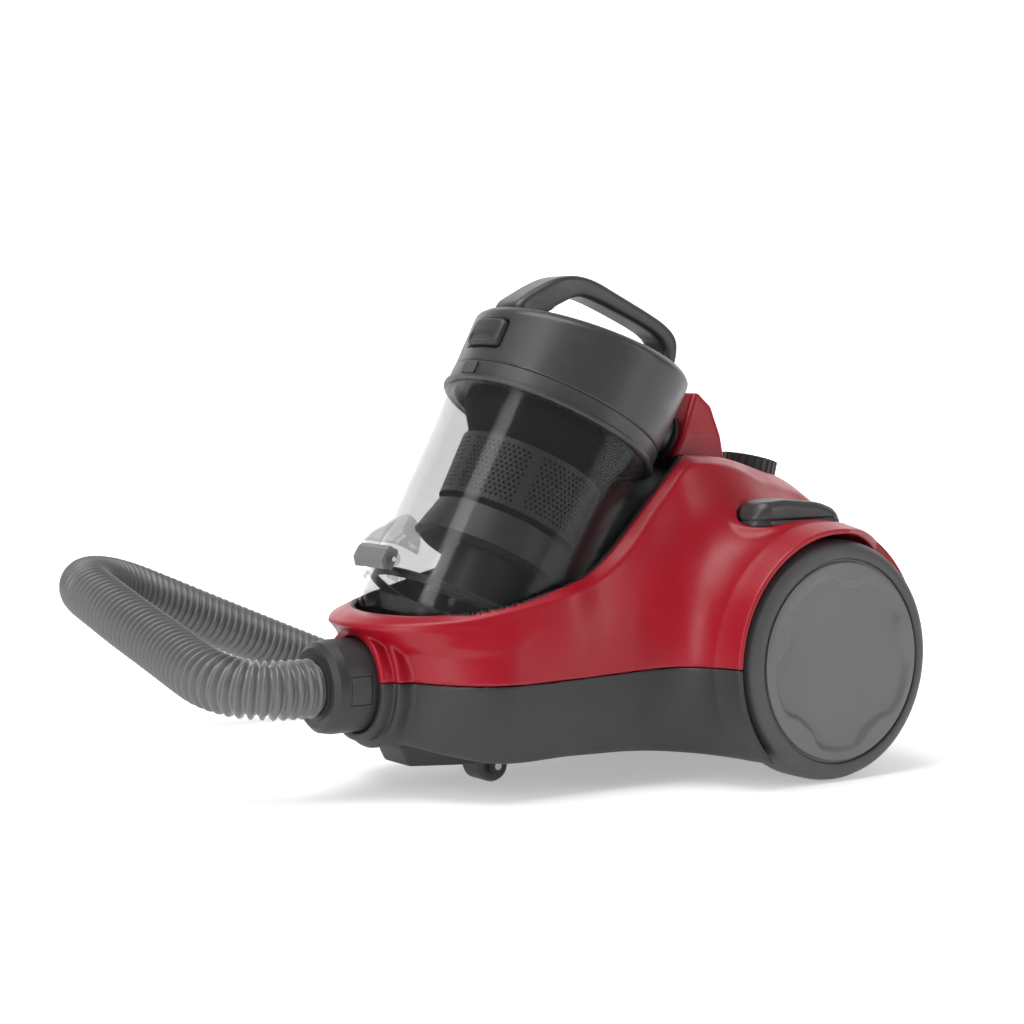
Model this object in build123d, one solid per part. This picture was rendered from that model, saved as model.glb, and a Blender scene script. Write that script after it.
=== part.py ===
from build123d import *
import math
import os

os.makedirs("parts", exist_ok=True)

# Cylinder canister vacuum cleaner, millimetres, +Z up, hose inlet at -X, rear at +X.
# The machine's left side is -Y. The origin is under the middle of the machine, on the floor.

# ---- driving dimensions -------------------------------------------------------------
WALL = 2.8                    # moulded wall
REAR_X = 206.0                # rear end of the casing
BELT_Z = 75.5                 # parting line between chassis and upper shell
HALF_WIDTH = 144.0            # outer face of the wheels

WHEEL_X, WHEEL_Z = 107.0, 79.0
WHEEL_R = 79.0
TYRE_IN_Y, TYRE_OUT_Y = 104.0, 141.0
DISC_R = 66.0
AXLE_R = 6.0
ARCH_R = 88.5                 # outside of the wheel arch
ARCH_Y = 120.0
LIP_R, LIP_Y = 84.3, 139.5    # outer edge of the lip that runs on round the tyre
LIP_END_X = 114.0             # behind this the lip draws back into the arch
LIP_DRAW = 0.45
WELL_R = 82.5
WELL_Y = 101.3

LEAN = 29.0                   # bin axis leans back from the vertical
BIN_X, BIN_Z = -28.0, 227.0   # centre of the seam between bin and lock ring
TUBE_TOP_R, TUBE_LOW_R = 72.0, 69.5
TUBE_LEN = 134.0              # seam down to the door
TUBE_WALL = 2.4
FLANGE_R = 75.0
RING_TOP = 13.0               # lock ring, above the seam
LID_R = 73.0
CRADLE_R = 72.3

PORT_Z = 71.0
PORT_FACE_X = -178.0          # front of the inlet collar
CONNECTOR_R = 29.6
CONNECTOR_FACE_X = -206.0
HOSE_R = 18.75

CASTER_X = -88.0
CASTER_TRAIL = 10.0
ROLLER_R = 11.0

MOTOR_X, MOTOR_Z = 96.0, 92.0
MOTOR_R = 56.0
REEL_R = 60.0

AXIS = Vector(math.sin(math.radians(LEAN)), 0, math.cos(math.radians(LEAN)))
BACK = Vector(math.cos(math.radians(LEAN)), 0, -math.sin(math.radians(LEAN)))
SEAM = Vector(BIN_X, 0, BIN_Z)


# ---- helpers ------------------------------------------------------------------------
def bin_plane(up, back=0.0):
    """Plane square to the bin axis, `up` above the seam, x pointing back and down."""
    return Plane(origin=SEAM + AXIS * up + BACK * back, x_dir=BACK, z_dir=AXIS)


def bin_turned(points):
    """Solid of revolution about the bin axis from (radius, height above seam) points."""
    plane = Plane(origin=SEAM, x_dir=BACK, z_dir=Vector(0, -1, 0))
    face = plane * make_face(Polyline(*[(r, s) for r, s in points], close=True))
    return revolve(face, Axis(SEAM, AXIS))


def turned(points, origin, direction, x_dir):
    """Solid of revolution about any axis from (radius, distance along it) points."""
    side = Vector(*x_dir)
    along = Vector(*direction)
    plane = Plane(origin=origin, x_dir=side, z_dir=side.cross(along))
    face = plane * make_face(Polyline(*points, close=True))
    return revolve(face, Axis(origin, direction))


def rod(origin, direction, radius, length, bore=0.0):
    """Round bar or tube that starts at origin."""
    plane = Plane(origin=origin, z_dir=direction)
    outline = Circle(radius)
    if bore:
        outline = outline - Circle(bore)
    return extrude(plane * outline, amount=length)


def block(x0, x1, y0, y1, z0, z1):
    return Pos((x0 + x1) / 2, (y0 + y1) / 2, (z0 + z1) / 2) * Box(x1 - x0, y1 - y0, z1 - z0)


def side_profile(points, half_width):
    """Extrude an XZ outline equally to both sides of the centre plane."""
    face = Plane.XZ * make_face(Polyline(*points, close=True))
    return extrude(face, amount=half_width, both=True)


def along_x(table, x):
    """Value at x on a table of (x, value) stations, straight between them."""
    if x <= table[0][0]:
        return table[0][1]
    for (x0, v0), (x1, v1) in zip(table, table[1:]):
        if x <= x1:
            return v0 + (v1 - v0) * (x - x0) / (x1 - x0)
    return table[-1][1]


def mirrored(shape):
    return mirror(shape, about=Plane.XZ)


PARTS = {}


def keep(name, shape):
    PARTS[name] = shape


# ---- casing outline -----------------------------------------------------------------
# Each table gives one long line of the casing as (x, value).
BELT_HALF = [(-184, 86), (-100, 88), (-40, 91), (0, 97), (20, 106), (45, 116), (170, 116),
             (190, 100), (206, 84)]
FLOOR_HALF = [(-184, 60), (-150, 74), (-60, 84), (20, 92), (60, 98), (170, 98), (206, 70)]
FLOOR_Z = [(-184, 44), (-160, 36), (-130, 27), (-60, 25), (-20, 24), (30, 19), (70, 13),
           (170, 14), (190, 22), (206, 44)]
EDGE_HALF = [(-184, 80), (-92, 81), (-43, 78), (-15, 74), (14, 69), (34, 66), (80, 60),
             (112, 53), (144, 45), (174, 38), (206, 34)]
EDGE_Z = [(-184, 110), (-157, 113), (-134, 115), (-92, 123), (-68, 128), (-43, 135),
          (-21, 148), (7, 175), (14, 192), (34, 204), (57, 205.5), (91, 200), (112, 192),
          (144, 184.5), (174, 175), (192, 158), (206, 132)]
TOP_Z = [(-184, 116), (-147, 119), (-130, 122), (-109, 125), (-86, 130), (-62, 135),
         (-47, 139), (-36, 149), (-15, 163), (8, 186), (21, 198), (36, 208), (42, 210.5),
         (78, 209), (133, 197), (153, 192), (170, 183.5), (184, 174.5), (198, 156),
         (206, 140)]
MID_HALF = [(-184, 84), (-60, 88), (10, 88), (34, 84), (57, 76), (80, 73), (130, 70),
            (160, 64), (190, 60), (206, 55)]
MID_Z = [(-184, 96), (-60, 102), (0, 112), (34, 140), (57, 162), (80, 170), (110, 171),
         (140, 167), (160, 158), (190, 130), (206, 112)]
STATIONS = [-184, -165, -145, -115, -90, -62, -43, -20, 0, 14, 34, 57, 80, 105, 130, 155,
            174, 190, 206]


def casing_section(x, inset):
    """Closed outline across the casing at x, moved inwards by inset."""
    right = [
        (along_x(FLOOR_HALF, x) - inset, along_x(FLOOR_Z, x) + inset),
        (along_x(BELT_HALF, x) - inset, BELT_Z),
        (along_x(MID_HALF, x) - inset, along_x(MID_Z, x) - inset * 0.6),
        (along_x(EDGE_HALF, x) - inset, along_x(EDGE_Z, x) - inset * 0.8),
        (along_x(EDGE_HALF, x) - 7 - inset * 0.6, along_x(TOP_Z, x) - inset),
    ]
    left = [(-y, z) for y, z in reversed(right)]
    place = x
    if x == STATIONS[-1]:
        place = x - inset
    if x == STATIONS[0]:
        place = x + inset
    plane = Plane(origin=(place, 0, 0), x_dir=(0, 1, 0), z_dir=(1, 0, 0))
    return plane * make_face(Polyline(*right, *left, close=True))


def nose_outline(z, tip, corner_x, half, inset):
    """Plan outline with a rounded nose, for trimming the front of the casing."""
    points = []
    for step in range(13):
        turn = math.radians(-90 + 15 * step)
        points.append((corner_x - (corner_x - tip - inset) * math.cos(turn),
                       (half - inset) * math.sin(turn)))
    points.append((REAR_X + 20, half - inset))
    points.append((REAR_X + 20, -half + inset))
    return Pos(0, 0, z) * make_face(Polyline(*points, close=True))


def nose_trim(inset):
    """Front plan of the casing: a flat nose at the belt, a round lip at the rim."""
    wide = ARCH_Y + 30
    belt = nose_outline(0, -166, -112, 100, inset)
    low = extrude(belt, amount=BELT_Z)
    mid = loft([nose_outline(BELT_Z, -166, -112, 100, inset),
                nose_outline(107, -184, -84, 100, inset)], ruled=True)
    high = extrude(nose_outline(107, -184, -84, 100, inset), amount=180)
    rear = block(-84, REAR_X + 20, -wide, wide, -5, 300)
    return low + mid + high + rear


def wheel_drum():
    """Both wheel arches in one, with lips that cover the tread and draw back at the rear."""
    drum = turned([(0, -LIP_Y), (LIP_R, -LIP_Y), (ARCH_R, -ARCH_Y), (ARCH_R, ARCH_Y),
                   (LIP_R, LIP_Y), (0, LIP_Y)], (WHEEL_X, 0, WHEEL_Z), (0, 1, 0), (1, 0, 0))
    rear_y = LIP_Y - LIP_DRAW * (REAR_X - LIP_END_X)
    plan = make_face(Polyline((0, LIP_Y + 1), (LIP_END_X - 2.5, LIP_Y + 1), (REAR_X, rear_y),
                              (REAR_X, -rear_y), (LIP_END_X - 2.5, -LIP_Y - 1),
                              (0, -LIP_Y - 1), close=True))
    return drum & Pos(0, 0, 12) * extrude(plan, amount=200)


def casing_solid(inset):
    """The whole casing as one solid: hull, wheel drums and the bump over the caster."""
    hull = loft([casing_section(x, inset) for x in STATIONS], ruled=True)
    hull = hull & nose_trim(inset)
    drum_y = WELL_Y - WALL
    drum = rod((WHEEL_X, -drum_y, WHEEL_Z), (0, 1, 0), ARCH_R - inset, 2 * drum_y)
    drum = drum & block(0, REAR_X - inset, -200, 200, 12 + inset, 300)
    if inset == 0:
        drum = wheel_drum()
    bump = side_profile([(-160, 44), (-156, 28), (-146, 16 + inset), (-76, 15 + inset),
                         (-62, 25), (-56, 40)], 40 - inset)
    return hull + drum + bump


def wheel_wells():
    well = rod((WHEEL_X, WELL_Y, WHEEL_Z), (0, 1, 0), WELL_R, 80)
    return well + mirrored(well)


# ---- casing parts -------------------------------------------------------------------
KNOB_X, KNOB_Z, KNOB_R = 146.0, 196.0, 20.0
KNOB_TILT = 14.0
PEDAL_FRONT, PEDAL_REAR = 66.0, 146.0
PEDAL_Y = 90.0
PEDAL_HALF = 14.0
PEDAL_HINGE_X, PEDAL_HINGE_Z = 141.0, 162.0
SEAT_TOP = 167.0              # raised rim round each pedal
COVER_LOW, COVER_HIGH, COVER_HALF = 60.0, 118.0, 44.0
SOCKET_BORE = 18.5
SOCKET_END_X = -158.0
DUCT_R, DUCT_BORE = 20.0, 17.5
OUTLET_UP = 38.0              # clean-air outlet, above the seam
OUTLET_BACK = 86.0            # its seat on the fin, from the bin axis
SEAL_BACK = 82.4              # front lip of the outlet seal
LINER_LOW = -173.0
SCREW_SPOTS = [(-112, 52), (-112, -52), (10, 74), (10, -74), (182, 56), (182, -56)]
SCREW_R = 3.5


def knob_place(up=0.0):
    """Plane on the sloping spine, square to the suction knob's axis."""
    tilt = math.radians(KNOB_TILT)
    normal = Vector(math.sin(tilt), 0, math.cos(tilt))
    origin = Vector(KNOB_X, 0, KNOB_Z) + normal * up
    return Plane(origin=origin, x_dir=Vector(math.cos(tilt), 0, -math.sin(tilt)), z_dir=normal)


def pedal_outline(grow):
    """Plan of a pedal pad: long, with round ends."""
    length = PEDAL_REAR - PEDAL_FRONT + 2 * grow
    return SlotOverall(length, 2 * (PEDAL_HALF + grow))


def pedal_pocket(side):
    middle = (PEDAL_FRONT + PEDAL_REAR) / 2
    return Pos(middle, side * PEDAL_Y, 140) * extrude(pedal_outline(1.0), amount=60)


def pedal_trunnions(radius, half):
    rods = Part()
    for side in (-1, 1):
        rods += rod((PEDAL_HINGE_X, side * PEDAL_Y - half, PEDAL_HINGE_Z), (0, 1, 0), radius,
                    2 * half)
    return rods


def port_bore(radius, x0, x1):
    return rod((x0, 0, PORT_Z), (1, 0, 0), radius, x1 - x0)


def cradle_space(extra):
    """Space that the bin sits in: a leaning bore that widens towards its top."""
    low = LINER_LOW - extra
    bore = bin_turned([(0, low), (56 + extra, low), (66 + extra, -162),
                       (CRADLE_R + extra, -146), (CRADLE_R + extra, -85),
                       (75.1 + extra, -50), (79.5 + extra, -18), (84.8 + extra, 14),
                       (89.5 + extra, 40), (89.5 + extra, 90), (0, 90)])
    channel = bin_plane(-150 - extra, HINGE_BACK - 12) * Rectangle(
        2 * (17 + extra), 2 * (21 + extra))
    return bore + extrude(channel, amount=150)


def fin_outline(inset):
    """Side view of the outlet fin that stands behind the bin."""
    return [(56 + inset, 203), (84 + inset * 0.6, 251 - inset), (88, 251 - inset),
            (98 - inset, 242 - inset * 0.5), (106 - inset, 205), (106 - inset, 203)]


def axle_bores():
    bore = rod((WHEEL_X, 90, WHEEL_Z), (0, 1, 0), AXLE_R + 0.05, 20)
    return bore + mirrored(bore)


def screw_bodies(radius):
    spots = Part()
    for x, y in SCREW_SPOTS:
        spots += rod((x, y, along_x(FLOOR_Z, x) - 0.5), (0, 0, 1), radius, 16)
    return spots


def duct_path(radius):
    """Dirty-air duct under the bin: from the socket down, then up the bin axis."""
    start = Vector(SOCKET_END_X, 0, PORT_Z)
    along = (start - SEAM).dot(BACK)
    turn = start - BACK * along
    riser = (SEAM + AXIS * (LINER_LOW - 2.5) - turn).length
    body = rod(start, BACK, radius, -along)
    body += Pos(turn) * Sphere(radius)
    body += rod(turn, AXIS, radius, riser)
    return body


def clean_path(radius):
    """Clean-air duct from the fin's seat down to the motor."""
    start = SEAM + AXIS * OUTLET_UP + BACK * OUTLET_BACK
    turn = start + BACK * 20
    body = rod(start, BACK, radius, 20)
    body += Pos(turn) * Sphere(radius)
    body += rod(turn, Vector(MOTOR_X, -30, MOTOR_Z + 50) - turn, radius,
                (Vector(MOTOR_X, -30, MOTOR_Z + 50) - turn).length)
    return body


def casing():
    outer = casing_solid(0)
    inner = casing_solid(WALL)
    walls = outer - inner - wheel_wells()
    collar = turned([(0, 0), (30.6, 0), (36, 4), (38, 26), (38, 40), (0, 40)],
                    (PORT_FACE_X, 0, PORT_Z), (1, 0, 0), (0, 1, 0))
    seats = Part()
    for side in (-1, 1):
        seats += Pos((PEDAL_FRONT + PEDAL_REAR) / 2, side * PEDAL_Y, 140) * extrude(
            pedal_outline(4.0), amount=SEAT_TOP - 140)
    walls = walls + (collar - inner) + (seats - inner - wheel_wells())
    walls = walls - port_bore(30.2, PORT_FACE_X - 12, -172)
    walls = walls - port_bore(SOCKET_BORE + 2.5, -173, -130)
    above = block(-300, 300, -200, 200, BELT_Z, 400)
    below = block(-300, 300, -200, 200, -50, BELT_Z)
    window = block(REAR_X - 8, REAR_X + 5, -COVER_HALF - 0.5, COVER_HALF + 0.5,
                   COVER_LOW - 0.5, COVER_HIGH + 0.5)
    shell = (walls & above) - cradle_space(2.5) - window
    shell = shell - pedal_pocket(1) - pedal_pocket(-1)
    shell = shell - pedal_trunnions(1.55, 15.5)
    shell = shell - extrude(knob_place(-14) * Circle(KNOB_R + 1.2), amount=40)
    shell = shell - outlet_fin_solid(0) - block(62, 103, -20.5, 20.5, 190, 215)
    keep("upper_shell", shell)

    chassis = (walls & below) - cradle_space(2.5) - window
    recess = rod((CASTER_X, 0, 0), (0, 0, 1), 26.5, 28.2)
    tower = rod((CASTER_X, 0, 20.5), (0, 0, 1), 29.5, 12) - recess
    chassis = chassis - rod((CASTER_X, 0, 20.6), (0, 0, 1), 29.4, 10) - recess + tower
    chassis = chassis - rod((CASTER_X, 0, 10), (0, 0, 1), 4.35, 40)
    chassis = chassis - axle_bores() - screw_bodies(SCREW_R)
    chassis = chassis - rod((REAR_X - 12, 66, 66), (1, 0, 0), 8, 20)
    keep("lower_chassis", chassis)
    keep("chassis_screws", screw_bodies(SCREW_R) & casing_solid(0))


def cradle_liner():
    liner = cradle_space(2.5) - cradle_space(0)
    liner = liner & casing_solid(1.0)
    liner = liner - port_bore(SOCKET_BORE + 2.5, -190, -130)
    liner = liner - rod(SEAM + AXIS * (LINER_LOW - 8), AXIS, DUCT_R, 20)
    liner = liner - outlet_fin_solid(0) - rod(SEAM + AXIS * OUTLET_UP + BACK * 70, BACK, 20.4, 40)
    keep("cradle_liner", liner)


def outlet_fin_solid(inset):
    """The fin's outer shape, narrower towards its top."""
    fin = side_profile(fin_outline(inset), 24 - inset)
    wide, narrow = 24 - inset, 17 - inset
    trim = Plane.YZ * make_face(Polyline((-wide, 200), (-wide, 222), (-narrow, 252),
                                         (narrow, 252), (wide, 222), (wide, 200), close=True))
    return fin & extrude(trim, amount=200)


def outlet_fin():
    fin = outlet_fin_solid(0) - outlet_fin_solid(2.5)
    fin = fin - rod(SEAM + AXIS * OUTLET_UP + BACK * 70, BACK, 17.2, 30)
    keep("outlet_fin", fin)
    seat = SEAM + AXIS * OUTLET_UP + BACK * SEAL_BACK
    seal = turned([(17.2, 0), (20, 0), (19, 1), (20, 2), (20, 6), (17.2, 6)], seat, BACK,
                  AXIS)
    keep("outlet_seal", seal - outlet_fin_solid(0))
    duct = (clean_path(16.5) - clean_path(14.5)) & block(0, 300, -60, 60, 156.2, 300)
    keep("clean_air_duct", duct - cradle_space(3.0))


def inlet():
    socket = port_bore(SOCKET_BORE + 2.5, -172, SOCKET_END_X)
    socket = socket - port_bore(SOCKET_BORE, -180, -150)
    duct = (duct_path(DUCT_R) - duct_path(DUCT_BORE))
    duct = duct & block(SOCKET_END_X, 0, -30, 30, 0, 200)
    keep("inlet_duct", duct + socket)
    low = LINER_LOW - 2.5
    seal = bin_turned([(DUCT_BORE, low), (DUCT_R, low), (DUCT_R, low + 5.5),
                       (DUCT_BORE, low + 6.5)])
    keep("inlet_seal", seal)


COVER_PEG = 2.2


def rear_cover():
    cover = block(REAR_X - 2.6, REAR_X, -COVER_HALF, COVER_HALF, COVER_LOW, COVER_HIGH)
    for row in range(7):
        z = COVER_LOW + 12 + row * 6
        cover = cover - block(REAR_X - 5, REAR_X + 5, -36, 36, z, z + 3)
    cover = cover - block(REAR_X - 5, REAR_X + 5, -50, 50, 50, COVER_LOW + COVER_PEG)
    pegs = rod((REAR_X - COVER_PEG, -COVER_HALF - 0.4, COVER_LOW + COVER_PEG), (0, 1, 0),
               COVER_PEG, 2 * COVER_HALF + 0.8)
    keep("rear_cover", cover + pegs)
    keep("exhaust_filter", block(REAR_X - 24, REAR_X - 8.5, -40, 40, COVER_LOW + 6,
                                 COVER_HIGH - 4))
    gland = turned([(4.5, 0), (8, 0), (8, 14), (10, 14), (9, 17), (5.5, 17), (4.5, 14)],
                   (REAR_X - 11, 66, 66), (1, 0, 0), (0, 1, 0))
    keep("cord_outlet", gland & block(0, REAR_X, 0, 100, 0, 100))


# ---- wheels and caster --------------------------------------------------------------
def wheel_side(name, flip):
    place = (WHEEL_X, 0, WHEEL_Z)

    def put(node, points):
        shape = turned(points, place, (0, 1, 0), (1, 0, 0))
        keep(f"{name}_{node}", mirrored(shape) if flip else shape)
        return shape

    put("tyre", [(DISC_R + 0.3, 106), (74, 104), (77.6, 107), (79, 113), (79, 129),
                 (77.8, 135), (74.6, 139), (70.5, TYRE_OUT_Y), (DISC_R + 0.3, TYRE_OUT_Y)])
    put("hub", [(AXLE_R + 0.05, 103), (12, 103), (13, 128), (62.5, 129), (62.5, 108),
                (DISC_R + 0.3, 108), (DISC_R + 0.3, 139), (DISC_R - 0.9, 139),
                (DISC_R - 0.9, 133), (AXLE_R + 0.05, 132)])
    cap = turned([(0, 137), (11, 137), (11, 133), (DISC_R - 0.9, 133), (DISC_R - 0.9, 141.5),
                  (60, 143.4), (30, HALF_WIDTH), (0, HALF_WIDTH)],
                 place, (0, 1, 0), (1, 0, 0))
    cap = cap - extrude(Plane(origin=(WHEEL_X, 139.6, WHEEL_Z), x_dir=(1, 0, 0),
                              z_dir=(0, 1, 0)) * wave_outline(), amount=10)
    keep(f"{name}_cap", mirrored(cap) if flip else cap)
    axle = rod((WHEEL_X, 88, WHEEL_Z), (0, 1, 0), AXLE_R, 44.5)
    axle = axle + rod((WHEEL_X, 88, WHEEL_Z), (0, 1, 0), 11, 8.5 + WALL)
    axle = axle + rod((WHEEL_X, 132.5, WHEEL_Z), (0, 1, 0), 9.5, 2.2)
    axle = axle & block(0, 200, 80, 136.7, 0, 200)
    axle = axle - rod((WHEEL_X, WELL_Y - WALL, WHEEL_Z), (0, 1, 0), 30, WALL) + rod(
        (WHEEL_X, WELL_Y - WALL - 1, WHEEL_Z), (0, 1, 0), AXLE_R, WALL + 2)
    return mirrored(axle) if flip else axle


LOBES = 5
LOBE_LOW, LOBE_HIGH = 49.5, 57.5
LOBE_TURN = 122.0             # direction of the first lobe, degrees


def wave_outline():
    """Outline of the recess in a wheel cap: broad lobes with tabs between them."""
    points = []
    count = LOBES * 12
    for step in range(count):
        turn = 2 * math.pi * step / count
        wave = math.tanh(2.2 * (math.cos(LOBES * (turn - math.radians(LOBE_TURN))) + 0.4))
        radius = (LOBE_LOW + LOBE_HIGH) / 2 + (LOBE_HIGH - LOBE_LOW) / 2 * wave
        points.append((radius * math.cos(turn), -radius * math.sin(turn)))
    return make_face(Spline(*points, periodic=True))


def caster():
    roller_x = CASTER_X + CASTER_TRAIL
    fork = rod((CASTER_X, 0, 22.6), (0, 0, 1), 25.6, 5.3)
    for side in (-1, 1):
        leg = block(roller_x - 6, roller_x + 6, side * 14.2 - 1.8, side * 14.2 + 1.8, 8, 23)
        leg = leg + rod((roller_x, side * 14.2 - 1.8, 11), (0, 1, 0), 6, 3.6)
        fork = fork + leg
    fork = fork - rod((roller_x, -20, 11), (0, 1, 0), 2.52, 40)
    fork = fork + rod((CASTER_X, 0, 27), (0, 0, 1), 4.25, 8.5)
    keep("caster_fork", fork)
    keep("caster_axle", rod((roller_x, -16, 11), (0, 1, 0), 2.5, 32))
    keep("caster_roller", turned([(2.56, -12), (9.5, -12), (ROLLER_R, -9), (ROLLER_R, 9),
                                  (9.5, 12), (2.56, 12)], (roller_x, 0, ROLLER_R),
                                 (0, 1, 0), (1, 0, 0)))


# ---- dust bin -----------------------------------------------------------------------
HINGE_BACK = 73.4
HINGE_UP = -TUBE_LEN - 2.0
DOOR_LOW = -168.0
RISER_R = 30.0
TUBE_FOOT = -TUBE_LEN
HOOD_FOOT = -121.6
LATCH_UP = -131.0


def hinge_rod(radius, half, y0=0.0):
    origin = SEAM + AXIS * HINGE_UP + BACK * HINGE_BACK + Vector(0, y0 - half, 0)
    return rod(origin, (0, 1, 0), radius, 2 * half)


def hood_wedge(inset):
    """Bulge on the front of the bin over the door latch: a leaning wedge, arched on top."""
    outline = [(-60, -98 - inset), (-71, -98 - inset), (-82 + inset, HOOD_FOOT),
               (-60, HOOD_FOOT)]
    plane = Plane(origin=SEAM, x_dir=BACK, z_dir=Vector(0, -1, 0))
    wedge = extrude(plane * make_face(Polyline(*outline, close=True)), amount=40, both=True)
    arch_plane = Plane(origin=SEAM - BACK * 100 + AXIS * -126, x_dir=(0, 1, 0), z_dir=BACK)
    arch = make_face(Polyline(*[
        ((24 - inset) * math.cos(math.radians(a)), (28 - inset) * math.sin(math.radians(a)))
        for a in range(0, 181, 12)], (-(24 - inset), -8), (24 - inset, -8), close=True))
    across = arch_plane * arch
    if (across.center() - arch_plane.origin).dot(AXIS) < 0:
        across = arch_plane * mirror(arch, about=Plane.XZ)
    return wedge & extrude(across, amount=60)


def bin_tube():
    foot = TUBE_FOOT
    tube = bin_turned([(TUBE_LOW_R, foot + 4), (TUBE_TOP_R, 0), (TUBE_TOP_R - TUBE_WALL, 0),
                       (TUBE_LOW_R - TUBE_WALL, foot), (71, foot), (71, foot + 2.5)])
    lug = hinge_rod(3.0, 5, 15) + hinge_rod(3.0, 5, -15)
    for y in (-15, 15):
        face = bin_plane(foot, 71.0) * Pos(0, y) * Rectangle(5, 10)
        lug = lug + extrude(face, amount=2.5)
    lug = lug - hinge_rod(1.55, 40) - bin_turned([(0, foot - 4), (67.6, foot - 4),
                                                  (67.6, foot + 6), (0, foot + 6)])
    lug = lug & bin_turned([(0, foot - 8), (77, foot - 8), (77, 0), (0, 0)])
    keep("bin_tube", tube + (lug - bin_turned([(0, foot - 8), (80, foot - 8), (80, foot - 4),
                                               (0, foot - 4)])))
    hood = hood_wedge(0) - hood_wedge(1.8) - bin_turned([(0, -160), (70.6, -160), (72.4, 0),
                                                         (0, 0)])
    keep("latch_hood", hood)
    ring = bin_turned([(66.5, 0), (FLANGE_R - 1, 0), (FLANGE_R, 1), (FLANGE_R, 2.5),
                       (73.4, 4), (73.4, RING_TOP), (66.5, RING_TOP)])
    tab = bin_plane(3.5, -73.0) * Rectangle(3, 14)
    keep("lock_ring", ring + extrude(tab, amount=8))


def cyclone():
    """The core hangs in the bin; the shroud and its flared skirt hang round the core."""
    keep("cyclone_core", bin_turned([(RISER_R - 2.5, -132), (RISER_R, -132), (RISER_R, 4),
                                     (66.4, 4), (66.4, 7), (52, 7), (52, 9.5), (49, 9.5),
                                     (49, 7), (RISER_R - 2.5, 7)]))
    keep("cyclone_shroud", bin_turned([(46, -72), (47.6, -20), (58, -4), (58, 3.7),
                                       (56, 3.7), (56, -3), (46, -19), (44.4, -72)]))
    keep("cyclone_skirt", bin_turned([(RISER_R + 0.2, -97.5), (48, -97.5), (53, -95),
                                      (46.6, -72.2), (44.4, -72.2), (50.4, -94),
                                      (47, -95.5), (RISER_R + 0.2, -95.5)]))


def bin_door():
    low = DOOR_LOW
    foot = TUBE_FOOT
    dish = bin_turned([(0, low), (50, low), (58, low + 3), (64, low + 9), (68.5, low + 18),
                       (70.5, foot - 3), (70.5, foot - 0.3), (66, foot - 0.3),
                       (65.6, low + 19), (61.5, low + 11), (56, low + 5.5), (50, low + 2.8),
                       (0, low + 2.8)])
    boss = bin_turned([(RISER_R - 2.5, low + 1), (RISER_R, low + 1), (RISER_R, -132.4),
                       (RISER_R - 2.5, -132.4)])
    dish = dish + boss - bin_turned([(0, low - 2), (DUCT_BORE, low - 2), (DUCT_BORE, low + 5),
                                     (0, low + 5)])
    knuckle = hinge_rod(3.0, 9.5)
    web = extrude(bin_plane(foot - 5.5, 70) * Rectangle(6, 19), amount=4)
    knuckle = (knuckle + web) - hinge_rod(1.55, 30)
    knuckle = knuckle - bin_turned([(0, foot - 20), (66.2, foot - 20), (66.2, foot + 5),
                                    (0, foot + 5)])
    knuckle = knuckle - bin_turned([(0, foot - 0.3), (71.3, foot - 0.3), (71.3, foot + 6),
                                    (0, foot + 6)])
    ears = Part()
    for side in (-1, 1):
        ear = rod(latch_point(-78.5, side * 19.7 - 1.7, LATCH_UP), (0, 1, 0), 4.5, 3.4)
        arm = latch_profile([(-80.5, LATCH_UP - 4), (-68, foot - 4.4), (-66, foot - 8.5),
                             (-76, foot - 8.5)], 21.4)
        ear = ear + (arm & block(-300, 300, side * 19.7 - 1.7, side * 19.7 + 1.7, 0, 400))
        ears += ear - rod(latch_point(-78.5, side * 19.7 - 3, LATCH_UP), (0, 1, 0), 1.5, 6)
    ears = ears - bin_turned([(0, -200), (66.5, -200), (66.5, foot), (0, foot)])
    keep("bin_door", dish + knuckle + ears)
    keep("door_seal", bin_turned([(63, foot - 2.5), (65.7, foot - 2.5), (65.7, foot + 1.5),
                                  (64.5, foot + 3), (63, foot + 1.5)]))
    pins = hinge_rod(1.5, 19)
    pins += rod(latch_point(-78.5, -21, LATCH_UP), (0, 1, 0), 1.5, 42)
    keep("door_pins", pins)
    bar = latch_profile([(-82.5, LATCH_UP + 7), (-76, LATCH_UP + 7), (-74.6, LATCH_UP + 2),
                         (-74.6, LATCH_UP - 6), (-80, LATCH_UP - 8), (-84, LATCH_UP - 4),
                         (-84, LATCH_UP + 4)], 17)
    bar = bar - rod(latch_point(-78.5, -30, LATCH_UP), (0, 1, 0), 1.56, 60)
    keep("door_latch", bar)


def latch_point(back, y, up):
    return SEAM + BACK * back + AXIS * up + Vector(0, y, 0)


def latch_profile(points, half):
    plane = Plane(origin=SEAM, x_dir=BACK, z_dir=Vector(0, -1, 0))
    return extrude(plane * make_face(Polyline(*points, close=True)), amount=half, both=True)


# ---- lid ----------------------------------------------------------------------------
LID_TOP = 63.5
LID_SLOPE = 0.12


def lid_top(back, drop=0.0):
    return LID_TOP + LID_SLOPE * back - drop


def under_lid_top(drop):
    """Everything below the sloping top face of the lid."""
    return latch_profile([(-120, lid_top(-120, drop)), (120, lid_top(120, drop)),
                          (120, -50), (-120, -50)], 120)


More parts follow.
